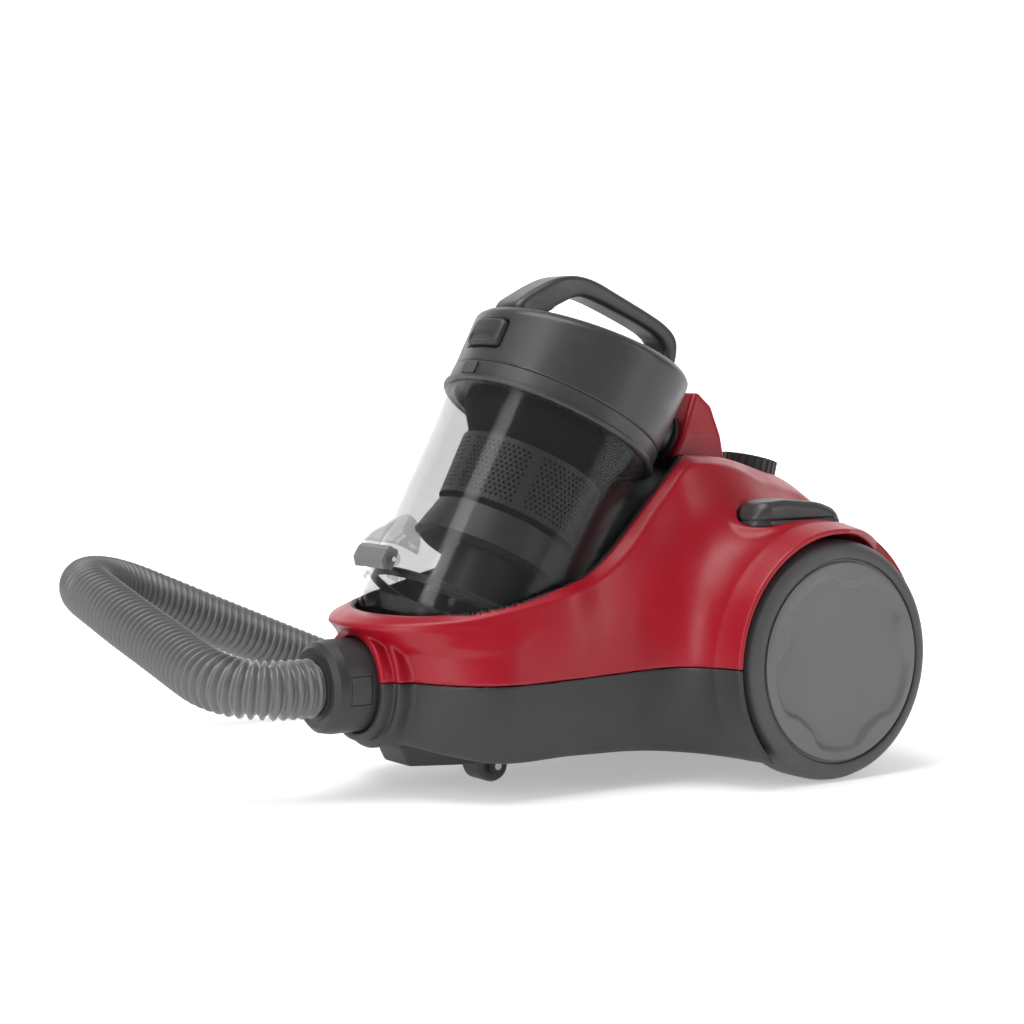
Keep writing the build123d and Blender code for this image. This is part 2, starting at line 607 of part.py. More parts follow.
def lid():
    low = RING_TOP + 0.3
    body = bin_turned([(0, low), (LID_R, low), (LID_R + 1.6, 90), (0, 90)])
    body = body & under_lid_top(0)
    crown = bin_turned([(0, 0), (LID_R + 3, 0), (LID_R + 3, 48), (LID_R - 5, 88), (0, 88)])
    body = body & crown
    body = body - (bin_turned([(0, 5), (LID_R - 3, 5), (LID_R - 3, 90), (0, 90)])
                   & under_lid_top(3.0))
    stub = rod(SEAM + AXIS * OUTLET_UP + BACK * 66, BACK, 19, SEAL_BACK - 66.4)
    body = body + (stub - bin_turned([(0, 0), (LID_R - 1, 0), (LID_R - 1, 90), (0, 90)]))
    body = body - rod(SEAM + AXIS * OUTLET_UP + BACK * 60, BACK, 16, 40)
    pocket = latch_profile([(-80, 23.4), (-60, 23.4), (-60, 43.6), (-80, 43.6)], 17.4)
    body = body - pocket
    keep("lid_shell", body)

    outer = [(-70, lid_top(-70) - 1), (-69, 58), (-60, 73), (-49.5, 86.5), (-40, 94.5),
             (-30, 99.5), (-18, 102.5), (0, 104), (30, 106), (46, 106), (57, 103), (63, 96),
             (66.5, 84), (68, lid_top(68) - 1)]
    inside = [(-41, lid_top(-41) - 2), (-36, 76), (-29, 84), (-20, 88.5), (0, 92), (30, 95),
              (44, 95), (51, 92.5), (55, 87), (57.5, lid_top(57) - 2)]
    handle = latch_profile(outer, 13) - latch_profile(inside, 20)
    trim = latch_profile([(-90, lid_top(-90)), (90, lid_top(90)), (90, 130), (-90, 130)], 40)
    handle = handle & trim & bin_turned([(0, 0), (LID_R - 2, 0), (LID_R - 2, 120), (0, 120)])
    keep("carry_handle", handle)
    button = latch_profile([(-76.5, 25), (-76.5, 42), (-75.5, 43), (-68.5, 43),
                            (-68.5, 24), (-75.5, 24)], 17)
    keep("lid_button", button)
    keep("foam_filter", bin_turned([(20, 14), (62, 14), (62, 30), (20, 30)]))
    keep("lid_seal", bin_turned([(63.5, 7.3), (66.3, 7.3), (66.3, 13.2), (69.6, 13.4),
                                 (69.6, 15), (63.5, 15)]))


# ---- controls -----------------------------------------------------------------------
def controls():
    side = [(64, 159), (64, 172), (67, 177), (73, 180.5), (84, 182), (108, 181), (128, 178),
            (140, 172.5), (146, 167), (148, 159)]
    springs = Part()
    for name, flip in (("power", -1), ("rewind", 1)):
        slot = Pos((PEDAL_FRONT + PEDAL_REAR) / 2, flip * PEDAL_Y, 150) * extrude(
            pedal_outline(0), amount=50)
        pad = side_profile(side, 120) & slot
        trunnion = pedal_trunnions(1.5, 14.4) & block(0, 200, min(0, 150 * flip),
                                                      max(0, 150 * flip), 100, 200)
        keep(f"{name}_pedal", pad + trunnion)
        springs += rod((78, flip * PEDAL_Y, 150), (0, 0, 1), 5, 8.8, 4)
    keep("pedal_springs", springs)
    keep("power_switch", block(92, 116, -98, -87.5, 134, 151))
    knob = extrude(knob_place(-6) * Circle(KNOB_R), amount=15)
    for k in range(24):
        turn = math.radians(15 * k)
        notch = knob_place(-2) * Pos((KNOB_R + 0.3) * math.cos(turn),
                                     (KNOB_R + 0.3) * math.sin(turn)) * Circle(1.3)
        knob = knob - extrude(notch, amount=20)
    knob = knob + extrude(knob_place(-15) * Circle(3), amount=12)
    keep("suction_knob", knob)
    board = extrude(knob_place(-19.5) * Rectangle(44, 44), amount=1.6)
    sensor = extrude(knob_place(-18) * (Rectangle(14, 14) - Circle(3.06)), amount=7)
    keep("control_board", board + sensor)


# ---- motor and cord reel ------------------------------------------------------------
def motor():
    at = (MOTOR_X, 0, MOTOR_Z)

    def put(name, points):
        keep(name, turned(points, at, (0, 1, 0), (1, 0, 0)))

    inner = MOTOR_R - 2.5
    housing = turned([(4.3, 6), (14, 6), (14, -4), (11.1, -4), (11.1, 3), (4.3, 3)], at,
                     (0, 1, 0), (1, 0, 0))
    cup = turned([(14, 3), (MOTOR_R, 3), (MOTOR_R, -84), (inner, -84), (inner, 0), (14, 0)],
                 at, (0, 1, 0), (1, 0, 0))
    intake = rod((MOTOR_X, -30, MOTOR_Z + 40), (0, 0, 1), 19, 24)
    case = housing + cup + (intake - rod(at, (0, 1, 0), inner, 200) - rod(
        (at[0], -120, at[2]), (0, 1, 0), inner, 130))
    case = case - rod((MOTOR_X, -30, MOTOR_Z + 40), (0, 0, 1), 16.6, 30)
    keep("motor_housing", case)
    put("motor_cover", [(20, -84), (MOTOR_R, -84), (MOTOR_R, -86.5), (20, -86.5)])
    put("motor_stator", [(29, -48), (44, -48), (44, -12), (29, -12)])
    put("motor_rotor", [(0, -80), (4, -80), (4, -50), (27.5, -46), (27.5, -14), (4, -10),
                        (4, 4), (0, 4)])
    put("motor_impeller", [(4, -79), (22, -79), (22, -77), (10, -75), (10, -66), (48, -64),
                           (48, -62.5), (4, -62.5)])
    put("motor_bearing", [(4.06, -4), (11, -4), (11, 3), (4.06, 3)])
    mounts = turned([(MOTOR_R, -80), (MOTOR_R + 3, -80), (MOTOR_R + 3, -72), (MOTOR_R, -72)],
                    at, (0, 1, 0), (1, 0, 0))
    mounts += turned([(MOTOR_R, -10), (MOTOR_R + 3, -10), (MOTOR_R + 3, -2), (MOTOR_R, -2)],
                     at, (0, 1, 0), (1, 0, 0))
    keep("motor_mounts", mounts)


def cord_reel():
    at = (100, 0, 84)

    def put(points):
        return turned(points, at, (0, 1, 0), (1, 0, 0))

    keep("cord_reel", put([(5.06, 32), (REEL_R, 32), (REEL_R, 34), (24, 34), (24, 78),
                           (REEL_R, 78), (REEL_R, 80), (21.5, 80), (21.5, 34.5),
                           (5.06, 34.5)]))
    keep("reel_spring", put([(5.6, 60), (20.5, 60), (20.5, 74), (5.6, 74)]))
    keep("reel_axle", put([(0, 20), (12, 20), (12, 22), (5, 22), (5, 88), (0, 88)]))


# ---- hose ---------------------------------------------------------------------------
def connector():
    at = (CONNECTOR_FACE_X, 0, PORT_Z)
    body = turned([(20.6, 0), (25, 0), (28.4, 3), (CONNECTOR_R, 9), (CONNECTOR_R, 33.4),
                   (18.42, 33.4), (18.42, 46), (16.5, 46), (16.5, 12), (20.6, 12)],
                  at, (1, 0, 0), (0, 1, 0))
    for name, flip in (("left", -1), ("right", 1)):
        ring = port_bore(29.3, -196, -180) - port_bore(26.3, -200, -170)
        plate = ring & block(-195.6, -181.4, 0, 40, 62.4, 79.6)
        grown = (port_bore(31, -200, -170) - port_bore(23.4, -201, -169)) & block(
            -196, -181, 0, 40, 62, 80)
        body = body - (mirrored(grown) if flip < 0 else grown)
        keep(f"{name}_connector_latch", mirrored(plate) if flip < 0 else plate)
    keep("hose_connector", body)
    keep("hose_cuff", turned([(16.5, -0.5), (20.4, -0.5), (20.4, 11.8), (16.5, 11.8)], at,
                             (1, 0, 0), (0, 1, 0)))


LOOP_X, LOOP_Y, LOOP_R = 370.0, 380.0, 193.6
FLOOR_LINE = 18.9
GRIP_Z = 21.6
HOSE_POINTS = [
    (-206.5, 0, PORT_Z), (-230, 0, PORT_Z), (-250.5, 12, 72.5), (-261.5, 33, 76.8),
    (-261.5, 59, 82), (-260.5, 96, 90), (-262, 142, 101), (-261, 186, 111), (-259, 220, 117.5),
    (-241, 252, 119), (-208, 275, 113), (-165, 285, 96), (-118, 287, 76), (-62, 288.5, 52.5),
    (-18, 288, 34), (27, 288.5, 24), (86, 310, FLOOR_LINE), (135, 352, FLOOR_LINE),
    (177, 430, FLOOR_LINE),
]
HOSE_POINTS += [(LOOP_X + LOOP_R * math.cos(math.radians(a)),
                 LOOP_Y + LOOP_R * math.sin(math.radians(a)), FLOOR_LINE)
                for a in range(135, -46, -30)]
HOSE_POINTS += [(420, 193, GRIP_Z), (330, 193, GRIP_Z)]


def hose():
    points = [Vector(*p) for p in HOSE_POINTS]
    runs = [(b - a).length for a, b in zip(points, points[1:])]
    radii = []
    for i in range(1, len(points) - 1):
        turn = (points[i] - points[i - 1]).get_angle(points[i + 1] - points[i])
        radii.append(0.45 * min(runs[i - 1], runs[i]) / math.tan(math.radians(turn / 2)))
    line = FilletPolyline(*points, radius=radii)
    section = Plane(origin=line @ 0, z_dir=line % 0) * Circle(HOSE_R)
    tube = sweep(section, path=line)
    print("hose length", round(line.length), "volume ratio",
          round(tube.volume / (math.pi * HOSE_R ** 2 * line.length), 4))
    print("hose runs", [round(r) for r in runs])
    print("hose radii", [round(r) for r in radii])
    keep("hose_tube", tube)

    start = points[-1]
    grip = [start, start + Vector(-75, 0, 0), start + Vector(-205, 27.6, 0)]
    path = FilletPolyline(*grip, radius=200)
    outer = sweep(Plane(origin=path @ 0, z_dir=path % 0) * Circle(18.5), path=path)
    bore = sweep(Plane(origin=path @ 0, z_dir=path % 0) * Circle(16), path=path)
    cuff = rod(start, (-1, 0, 0), 21, 34) + rod(path @ 1 - (path % 1) * 30, path % 1, 20, 30)
    handle = outer + cuff - bore
    handle = handle - rod(path @ 1 - (path % 1) * 42, path % 1, 17.0, 60)
    top = start + Vector(-52, 0, 18)
    handle = handle - Pos(top) * Box(20, 8, 12)
    handle = handle + (Pos(start + Vector(-52, 0, 20.5)) * Box(50, 17, 5) - Pos(
        start + Vector(-52, 0, 16.5)) * Box(60, 40, 5) - Pos(top) * Box(38.6, 12.6, 20))
    keep("hose_handle", handle)
    keep("handle_air_slide", Pos(start + Vector(-61, 0, 21)) * Box(20, 12, 3.6))


casing()
cradle_liner()
outlet_fin()
inlet()
rear_cover()
keep("wheel_axles", wheel_side("left", True) + wheel_side("right", False))
caster()
bin_tube()
cyclone()
bin_door()
lid()
controls()
motor()
cord_reel()
connector()
hose()
for name, shape in PARTS.items():
    export_step(shape, f"parts/{name}.step")
print(len(PARTS), "nodes")
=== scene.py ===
import math
from functools import reduce
import bpy
import numpy as np
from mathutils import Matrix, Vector


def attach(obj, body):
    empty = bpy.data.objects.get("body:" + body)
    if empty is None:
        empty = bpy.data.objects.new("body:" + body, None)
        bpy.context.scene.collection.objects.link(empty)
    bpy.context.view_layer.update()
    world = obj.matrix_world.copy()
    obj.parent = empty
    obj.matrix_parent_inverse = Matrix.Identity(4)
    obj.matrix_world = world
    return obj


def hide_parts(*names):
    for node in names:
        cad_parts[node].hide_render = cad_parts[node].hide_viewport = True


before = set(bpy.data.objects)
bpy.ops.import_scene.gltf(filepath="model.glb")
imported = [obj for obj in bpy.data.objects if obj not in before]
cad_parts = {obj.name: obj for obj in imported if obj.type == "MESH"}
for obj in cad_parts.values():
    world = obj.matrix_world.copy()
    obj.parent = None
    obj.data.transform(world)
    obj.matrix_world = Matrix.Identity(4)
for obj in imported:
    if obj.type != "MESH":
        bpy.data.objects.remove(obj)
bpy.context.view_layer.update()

# Geometry below is written in millimetres and turned into metres when a mesh is made.
MM = 0.001

# ---- camera -------------------------------------------------------------------------
AIM = Vector((-0.056, 0.0, 0.1745))
VIEW_SIDE, VIEW_UP = math.radians(-35), math.radians(4)
VIEW_DISTANCE = 1.49


def camera():
    back = Vector((math.sin(VIEW_SIDE) * math.cos(VIEW_UP),
                   -math.cos(VIEW_SIDE) * math.cos(VIEW_UP), math.sin(VIEW_UP)))
    data = bpy.data.cameras.new("camera")
    data.lens = 80
    data.sensor_width = 36
    eye = bpy.data.objects.new("camera", data)
    eye.location = AIM + back * VIEW_DISTANCE
    eye.rotation_euler = back.to_track_quat("Z", "Y").to_euler()
    bpy.context.collection.objects.link(eye)
    bpy.context.scene.camera = eye


# ---- mesh helpers -------------------------------------------------------------------
def mesh_object(name, points, faces, smooth=True):
    """New object from points in millimetres and lists of point numbers."""
    mesh = bpy.data.meshes.new(name)
    mesh.from_pydata([tuple(p) for p in np.asarray(points) * MM], [], faces)
    mesh.validate()
    mesh.update()
    if smooth:
        mesh.shade_smooth()
    piece = bpy.data.objects.new(name, mesh)
    bpy.context.collection.objects.link(piece)
    return piece


def quad_grid(rows, cols, closed_rows=False, closed_cols=False):
    """Faces of a grid of points numbered row by row."""
    faces = []
    for i in range(rows if closed_rows else rows - 1):
        for j in range(cols if closed_cols else cols - 1):
            a, b = i * cols + j, i * cols + (j + 1) % cols
            c, d = (i + 1) % rows * cols + (j + 1) % cols, (i + 1) % rows * cols + j
            faces.append((a, b, c, d))
    return faces


def turned(name, profile, origin, along, across, steps=96):
    """Closed ring of revolution from (radius, distance) points, all radii above zero."""
    origin, along = np.array(origin, float), np.array(along, float)
    across = np.array(across, float)
    third = np.cross(along, across)
    points = []
    for radius, distance in profile:
        for k in range(steps):
            turn = 2 * math.pi * k / steps
            points.append(origin + along * distance
                          + radius * (math.cos(turn) * across + math.sin(turn) * third))
    faces = quad_grid(len(profile), steps, closed_rows=True, closed_cols=True)
    return mesh_object(name, points, faces)


# ---- materials ----------------------------------------------------------------------
def plastic(name, colour, rough, grain=1400.0, bump=0.04, tint=0.05, edge_highlight=0.12, coat=0.0,
            metal=0.0, clear=1.0, spread=0.06, gloss=0.5):
    """Moulded plastic, rubber or metal: grain in the surface, slight colour change, a painted
    highlight on convex edges and an uneven gloss."""
    made = bpy.data.materials.new(name)
    made.use_nodes = True
    nodes, links = made.node_tree.nodes, made.node_tree.links
    shader = nodes["Principled BSDF"]
    place = nodes.new("ShaderNodeTexCoord").outputs["Object"]

    def noise(scale, detail):
        node = nodes.new("ShaderNodeTexNoise")
        node.inputs["Scale"].default_value = scale
        node.inputs["Detail"].default_value = detail
        links.new(place, node.inputs["Vector"])
        return node.outputs["Fac"]

    def spanned(value, low, high, new_low, new_high):
        node = nodes.new("ShaderNodeMapRange")
        links.new(value, node.inputs["Value"])
        for key, number in (("From Min", low), ("From Max", high), ("To Min", new_low),
                            ("To Max", new_high)):
            node.inputs[key].default_value = number
        return node.outputs["Result"]

    def mixed(factor, first, second):
        node = nodes.new("ShaderNodeMix")
        node.data_type = "RGBA"
        links.new(factor, node.inputs[0])
        for slot, value in ((node.inputs[6], first), (node.inputs[7], second)):
            if isinstance(value, tuple):
                slot.default_value = value
            else:
                links.new(value, slot)
        return node.outputs[2]

    def shade(factor):
        return tuple(min(1.0, c * factor) for c in colour) + (1.0,)

    cloud = mixed(spanned(noise(16, 3), 0.3, 0.7, 0, 1), shade(1 - tint), shade(1 + tint))
    edges = nodes.new("ShaderNodeNewGeometry").outputs["Pointiness"]
    # Convex edges, found by pointiness, are mixed towards a paler colour: a painted highlight.
    edge_highlight_mask = spanned(edges, 0.52, 0.62, 0, edge_highlight)
    highlight_colour = tuple(0.6 * c + 0.4 * 0.6 for c in colour) + (1.0,)
    links.new(mixed(edge_highlight_mask, cloud, highlight_colour), shader.inputs["Base Color"])
    links.new(spanned(noise(70, 4), 0.25, 0.75, rough - spread, rough + spread),
              shader.inputs["Roughness"])
    relief = nodes.new("ShaderNodeBump")
    relief.inputs["Strength"].default_value = bump
    relief.inputs["Distance"].default_value = 0.0006
    links.new(noise(grain, 2), relief.inputs["Height"])
    links.new(relief.outputs["Normal"], shader.inputs["Normal"])
    shader.inputs["Metallic"].default_value = metal
    shader.inputs["Specular IOR Level"].default_value = gloss
    shader.inputs["Coat Weight"].default_value = coat
    shader.inputs["Coat Roughness"].default_value = 0.12
    shader.inputs["Alpha"].default_value = clear
    return made


def materials():
    return {
        "red": plastic("satin red", (0.31, 0.002, 0.012), 0.36, bump=0.02, edge_highlight=0.03,
                       gloss=0.38),
        "dark": plastic("dark grey moulding", (0.021, 0.021, 0.022), 0.48, bump=0.10,
                        edge_highlight=0.04),
        "lid": plastic("lid grey", (0.034, 0.034, 0.036), 0.36, bump=0.05, edge_highlight=0.05),
        "liner": plastic("black liner", (0.010, 0.010, 0.011), 0.52, bump=0.02, edge_highlight=0.02,
                         gloss=0.3),
        "clear": plastic("smoky clear", (0.030, 0.030, 0.032), 0.10, bump=0.0, tint=0.02,
                         edge_highlight=0.0, coat=0.6, clear=0.21, spread=0.02),
        "hood": plastic("clear hood", (0.035, 0.035, 0.037), 0.08, bump=0.0, tint=0.02,
                        edge_highlight=0.0, coat=0.8, clear=0.30, spread=0.02),
        "latch": plastic("latch grey", (0.13, 0.13, 0.135), 0.35, edge_highlight=0.03),
        "shroud": plastic("shroud grey", (0.034, 0.034, 0.036), 0.42, bump=0.02, edge_highlight=0.0),
        # Near-black, dull shroud behind the perforated screen: painted shade seen through its
        # holes.
        "hole_shade": plastic("shroud hole shade", (0.003, 0.003, 0.003), 0.8, bump=0.0, edge_highlight=0.0,
                       gloss=0.1),
        "wheel": plastic("wheel grey", (0.125, 0.125, 0.128), 0.40, bump=0.04, edge_highlight=0.03),
        "tyre": plastic("tyre grey", (0.058, 0.058, 0.060), 0.50, bump=0.10, edge_highlight=0.02),
        "light": plastic("light grey", (0.34, 0.34, 0.35), 0.38),
        # The hose's strong edge highlight paints its rib tops pale: a painted highlight on the
        # ribs, leaving the valleys darker.
        "hose": plastic("hose grey", (0.12, 0.12, 0.122), 0.34, tint=0.06, edge_highlight=0.9),
        "seal": plastic("black rubber", (0.010, 0.010, 0.011), 0.6, bump=0.15),
        "inner": plastic("inner plastic", (0.22, 0.22, 0.225), 0.5),
        "filter": plastic("filter felt", (0.70, 0.68, 0.62), 0.9, grain=500, bump=0.6,
                          tint=0.10),
        "steel": plastic("turned steel", (0.45, 0.45, 0.46), 0.28, grain=2500, metal=1.0),
        "copper": plastic("windings", (0.45, 0.20, 0.08), 0.4, grain=2500, bump=0.5,
                          metal=0.8),
        "board": plastic("circuit board", (0.02, 0.16, 0.06), 0.4, grain=300, bump=0.2),
    }


# The CAD nodes that no piece stands for, by finish.
NODE_FINISH = {
    "dark": ["hose_connector", "left_connector_latch", "right_connector_latch", "hose_cuff",
             "hose_handle", "caster_fork", "rear_cover", "suction_knob", "wheel_axles"],
    "lid": ["lock_ring"],
    "liner": ["power_switch"],
    "clear": ["bin_door"],
    "shroud": ["cyclone_core", "cyclone_skirt"],
    "hole_shade": ["cyclone_shroud"],
    "wheel": ["left_hub", "right_hub"],
    "tyre": ["caster_roller"],
    "light": ["handle_air_slide"],
    "latch": ["door_latch"],
    "seal": ["outlet_seal", "inlet_seal", "door_seal", "lid_seal", "cord_outlet",
             "motor_mounts"],
    "inner": ["clean_air_duct", "inlet_duct", "motor_housing", "motor_cover", "cord_reel"],
    "filter": ["exhaust_filter", "foam_filter"],
    "steel": ["chassis_screws", "caster_axle", "door_pins", "pedal_springs",
              "motor_impeller", "motor_bearing", "reel_spring", "reel_axle"],
    "copper": ["motor_stator", "motor_rotor"],
    "board": ["control_board"],
}


def paint(piece, made):
    piece.data.materials.clear()
    piece.data.materials.append(made)


def as_part(piece, made, body, node, slot):
    """Give a piece its finish and its moving body, and hide the node that it stands for."""
    paint(piece, made)
    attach(piece, body)
    if node:
        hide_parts(node)


def finish_nodes(finish):
    for key, nodes in NODE_FINISH.items():
        for node in nodes:
            paint(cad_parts[node], finish[key])


# ---- hose ---------------------------------------------------------------------------
HOSE_D = 37.5
HOSE_SIDES = 40
RIB_PITCH = 6.0
RIB_DEPTH = 3.8
RIB_SHAPE = [0.0, 0.2, 0.8, 1.0, 0.8, 0.2]
END_DEPTH = 2.6                 # the plain ends are this much below the ribs' tops
LOOP_X, LOOP_Y, LOOP_R = 370.0, 380.0, 193.6
FLOOR_LINE = 18.9
GRIP_Z = 21.6
HOSE_POINTS = [
    (-206.5, 0, 71), (-230, 0, 71), (-250.5, 12, 72.5), (-261.5, 33, 76.8),
    (-261.5, 59, 82), (-260.5, 96, 90), (-262, 142, 101), (-261, 186, 111),
    (-259, 220, 117.5), (-241, 252, 119), (-208, 275, 113), (-165, 285, 96),
    (-118, 287, 76), (-62, 288.5, 52.5), (-18, 288, 34), (27, 288.5, 24),
    (86, 310, FLOOR_LINE), (135, 352, FLOOR_LINE), (177, 430, FLOOR_LINE),
]
HOSE_POINTS += [(LOOP_X + LOOP_R * math.cos(math.radians(a)),
                 LOOP_Y + LOOP_R * math.sin(math.radians(a)), FLOOR_LINE)
                for a in range(135, -46, -30)]
HOSE_POINTS += [(420, 193, GRIP_Z), (330, 193, GRIP_Z)]


def hose_line():
    """Points along the hose's smooth line, in millimetres."""
    data = bpy.data.curves.new("hose line", "CURVE")
    data.dimensions = "3D"
    data.resolution_u = 24
    spline = data.splines.new("NURBS")
    spline.points.add(len(HOSE_POINTS) - 1)
    for point, place in zip(spline.points, HOSE_POINTS):
        point.co = (*[v * MM for v in place], 1.0)
    spline.order_u = 3
    spline.use_endpoint_u = True
    holder = bpy.data.objects.new("hose line", data)
    bpy.context.collection.objects.link(holder)
    bpy.context.view_layer.update()
    mesh = bpy.data.meshes.new_from_object(holder)
    line = np.array([v.co[:] for v in mesh.vertices]) / MM
    bpy.data.objects.remove(holder)
    bpy.data.meshes.remove(mesh)
    return line


def even_steps(line, gap):
    """The line cut into steps of one length: places and directions."""
    steps = np.linalg.norm(np.diff(line, axis=0), axis=1)
    run = np.concatenate([[0], np.cumsum(steps)])
    count = int(round(run[-1] / gap))
    at = np.linspace(0, run[-1], count + 1)
    place = np.stack([np.interp(at, run, line[:, i]) for i in range(3)], axis=1)
    for _ in range(3):
        place[1:-1] = (place[:-2] + 2 * place[1:-1] + place[2:]) / 4
    return place, np.gradient(place, axis=0), run[-1]


def hose(finish):
    """Corrugated hose: a round-topped rib every few millimetres."""
    line = hose_line()
    place, ahead, length = even_steps(line, RIB_PITCH / len(RIB_SHAPE))
    ahead /= np.linalg.norm(ahead, axis=1)[:, None]
    up = np.array([0.0, 0.0, 1.0])
    side = np.cross(ahead, up)
    side /= np.linalg.norm(side, axis=1)[:, None]
    top = np.cross(side, ahead)
    turn = 2 * math.pi * np.arange(HOSE_SIDES) / HOSE_SIDES
    depth = np.array([RIB_SHAPE[i % len(RIB_SHAPE)] for i in range(len(place))])
    radius = HOSE_D / 2 - RIB_DEPTH + RIB_DEPTH * depth
    radius[:3] = radius[-3:] = HOSE_D / 2 - END_DEPTH
    rings = (place[:, None] + radius[:, None, None] * (
        np.cos(turn)[None, :, None] * side[:, None]
        + np.sin(turn)[None, :, None] * top[:, None]))
    points = list(rings.reshape(-1, 3))
    faces = quad_grid(len(place), HOSE_SIDES, closed_cols=True)
    faces.append(tuple(range(HOSE_SIDES)))
    faces.append(tuple(reversed(range(len(points) - HOSE_SIDES, len(points)))))
    piece = mesh_object("ribbed_hose", points, faces)
    as_part(piece, finish["hose"], "machine", "hose_tube", "hose_grey")
    tuple(v * MM for v in HOSE_POINTS[0])


# ---- casing shape -------------------------------------------------------------------
# Long lines of the casing as (x, value) points; smooth curves run through them.
FLOOR_HALF = [(-184, 58), (-150, 72), (-60, 80), (20, 84), (60, 86), (170, 84), (206, 66)]
BELT_HALF = [(-184, 84), (-100, 88), (-40, 89), (0, 91), (45, 92), (150, 90), (190, 84),
             (206, 76)]
FLOOR_LOW = [(-184, 44), (-160, 35), (-130, 27), (-60, 25), (-20, 24), (30, 19), (70, 14),
             (170, 14), (190, 22), (206, 44)]
EDGE_HALF = [(-184, 81), (-92, 81), (-68, 83), (-43, 78), (-15, 73.5), (14, 69), (34, 66),
             (57, 63), (91, 57), (112, 53), (144, 45), (174, 38), (206, 32)]
EDGE_HIGH = [(-184, 110), (-157, 113), (-134, 115), (-114, 119), (-92, 123), (-68, 128),
             (-43, 135), (-21, 148), (7, 175), (20, 187), (34, 201), (44, 205), (57, 205.5),
             (91, 200), (112, 192), (144, 184.6), (174, 174), (192, 158), (206, 134)]
TOP_HIGH = [(-184, 115), (-147, 118), (-130, 122), (-109, 125), (-86, 130), (-62, 135),
            (-47, 140), (-36, 147), (-15, 163), (8, 186), (21, 198), (33, 207),
            (42, 210.5), (60, 210.5), (78, 209), (133, 197), (153, 192), (170, 183.5),
            (184, 174.5), (198, 156), (206, 140)]
PARTING = [(-206, 75.5), (-70, 75.5), (-10, 77.5), (30, 80), (206, 80)]
BELT_Z = 75.5
NOSE_CENTRE = [(40, -112), (75, -112), (98, -108), (112, -84), (260, -84)]
NOSE_TIP = [(20, -150), (40, -164), (75, -166), (93, -168), (101, -176), (108, -184),
            (260, -184)]
WALL = 6.0                      # thicker than the real wall, so that the mesh has no holes
REAR_X = 205.2
INLET_Z = 71
CASTER_X = -88
WHEEL_X, WHEEL_Z = 107.0, 79.0
ARCH_R, ARCH_Y = 89.5, 120.5
LIP_R, LIP_Y = 85.6, 139.3
LIP_END_X, LIP_DRAW = 114, 0.45
WELL_R, WELL_Y = 82.5, 101.3
AXLE_R = 6.2
PEDAL_FRONT, PEDAL_REAR, PEDAL_Y, PEDAL_HALF = 80, 132, 90, 14
KNOB_X, KNOB_Z, KNOB_TILT = 146, 196, math.radians(14)
SCREWS = ((-112, 52), (10, 74), (182, 56))
LEAN = math.radians(29)
SEAM_X, SEAM_Z = -28.0, 227.0
OUTLET_UP = 38


def along(table, at):
    """Value of a smooth curve through a table's points."""
    xs, ys = np.array(table, float).T
    slope = np.gradient(ys, xs)
    at = np.clip(at, xs[0], xs[-1])
    k = np.clip(np.searchsorted(xs, at, side="right") - 1, 0, len(xs) - 2)
    gap = xs[k + 1] - xs[k]
    t = (at - xs[k]) / gap
    return ((2 * t**3 - 3 * t**2 + 1) * ys[k] + (t**3 - 2 * t**2 + t) * gap * slope[k]
            + (3 * t**2 - 2 * t**3) * ys[k + 1] + (t**3 - t**2) * gap * slope[k + 1])


def bin_frame(x, z):
    """Distance back from the leaning bin's axis, and up along it from the seam."""
    back = (x - SEAM_X) * math.cos(LEAN) - (z - SEAM_Z) * math.sin(LEAN)
    up = (x - SEAM_X) * math.sin(LEAN) + (z - SEAM_Z) * math.cos(LEAN)
    return back, up


def bin_spot(back, y, up):
    """Place in the scene of a point given in the bin's own directions."""
    return (SEAM_X + back * math.cos(LEAN) + up * math.sin(LEAN), y,
            SEAM_Z - back * math.sin(LEAN) + up * math.cos(LEAN))


def meet(a, b, r=0.8):
    """Where two solids overlap, with the edge rounded."""
    h = np.clip(0.5 + 0.5 * (a - b) / r, 0, 1)
    return b * (1 - h) + a * h + r * h * (1 - h)


def join(a, b, r=0.8):
    """Two solids as one, with the corner filled."""
    return -meet(-a, -b, r)


def union(*solids):
    """Several solids as one, with sharp corners."""
    return reduce(np.minimum, solids)


def overlap(*solids):
    """Where several solids overlap, with sharp edges."""
    return reduce(np.maximum, solids)


def slab(value, low, high):
    return np.maximum(low - value, value - high)


def from_wheel(x, z):
    """Distance from the axis of the rear wheels."""
    return np.sqrt((x - WHEEL_X) ** 2 + (z - WHEEL_Z) ** 2)


def from_inlet(y, z):
    """Distance from the axis of the hose inlet."""
    return np.sqrt(y**2 + (z - INLET_Z) ** 2)


def from_outlet(y, up):
    """Distance from the axis of the clean-air outlet behind the lid."""
    return np.sqrt(y**2 + (up - OUTLET_UP) ** 2)


def from_caster(x, y):
    """Distance from the caster's upright axis."""
    return np.sqrt((x - CASTER_X) ** 2 + y**2)


def side_wall(x, wide, z, edge_y, edge_z):
    """About the distance outside the casing's curved sides and nose."""
    belt_y, floor_y = along(BELT_HALF, x), along(FLOOR_HALF, x)
    over = np.clip((z - BELT_Z) / (edge_z - BELT_Z), 0, 1.2)
    bulge = np.interp(x, [-100, 0], [1.1, 1.8])
    under = np.clip((BELT_Z - z) / (BELT_Z - along(FLOOR_LOW, x)), 0, 1.2)
    half = belt_y + (edge_y - belt_y) * over**bulge + (floor_y - belt_y) * under**2.2
    centre, tip = np.interp(z, *np.array(NOSE_CENTRE).T), np.interp(z, *np.array(NOSE_TIP).T)
    nose = np.clip((centre - x) / (centre - tip), 0, None)
    return (np.sqrt((wide / half) ** 2 + nose**2) - 1) * half * 0.93


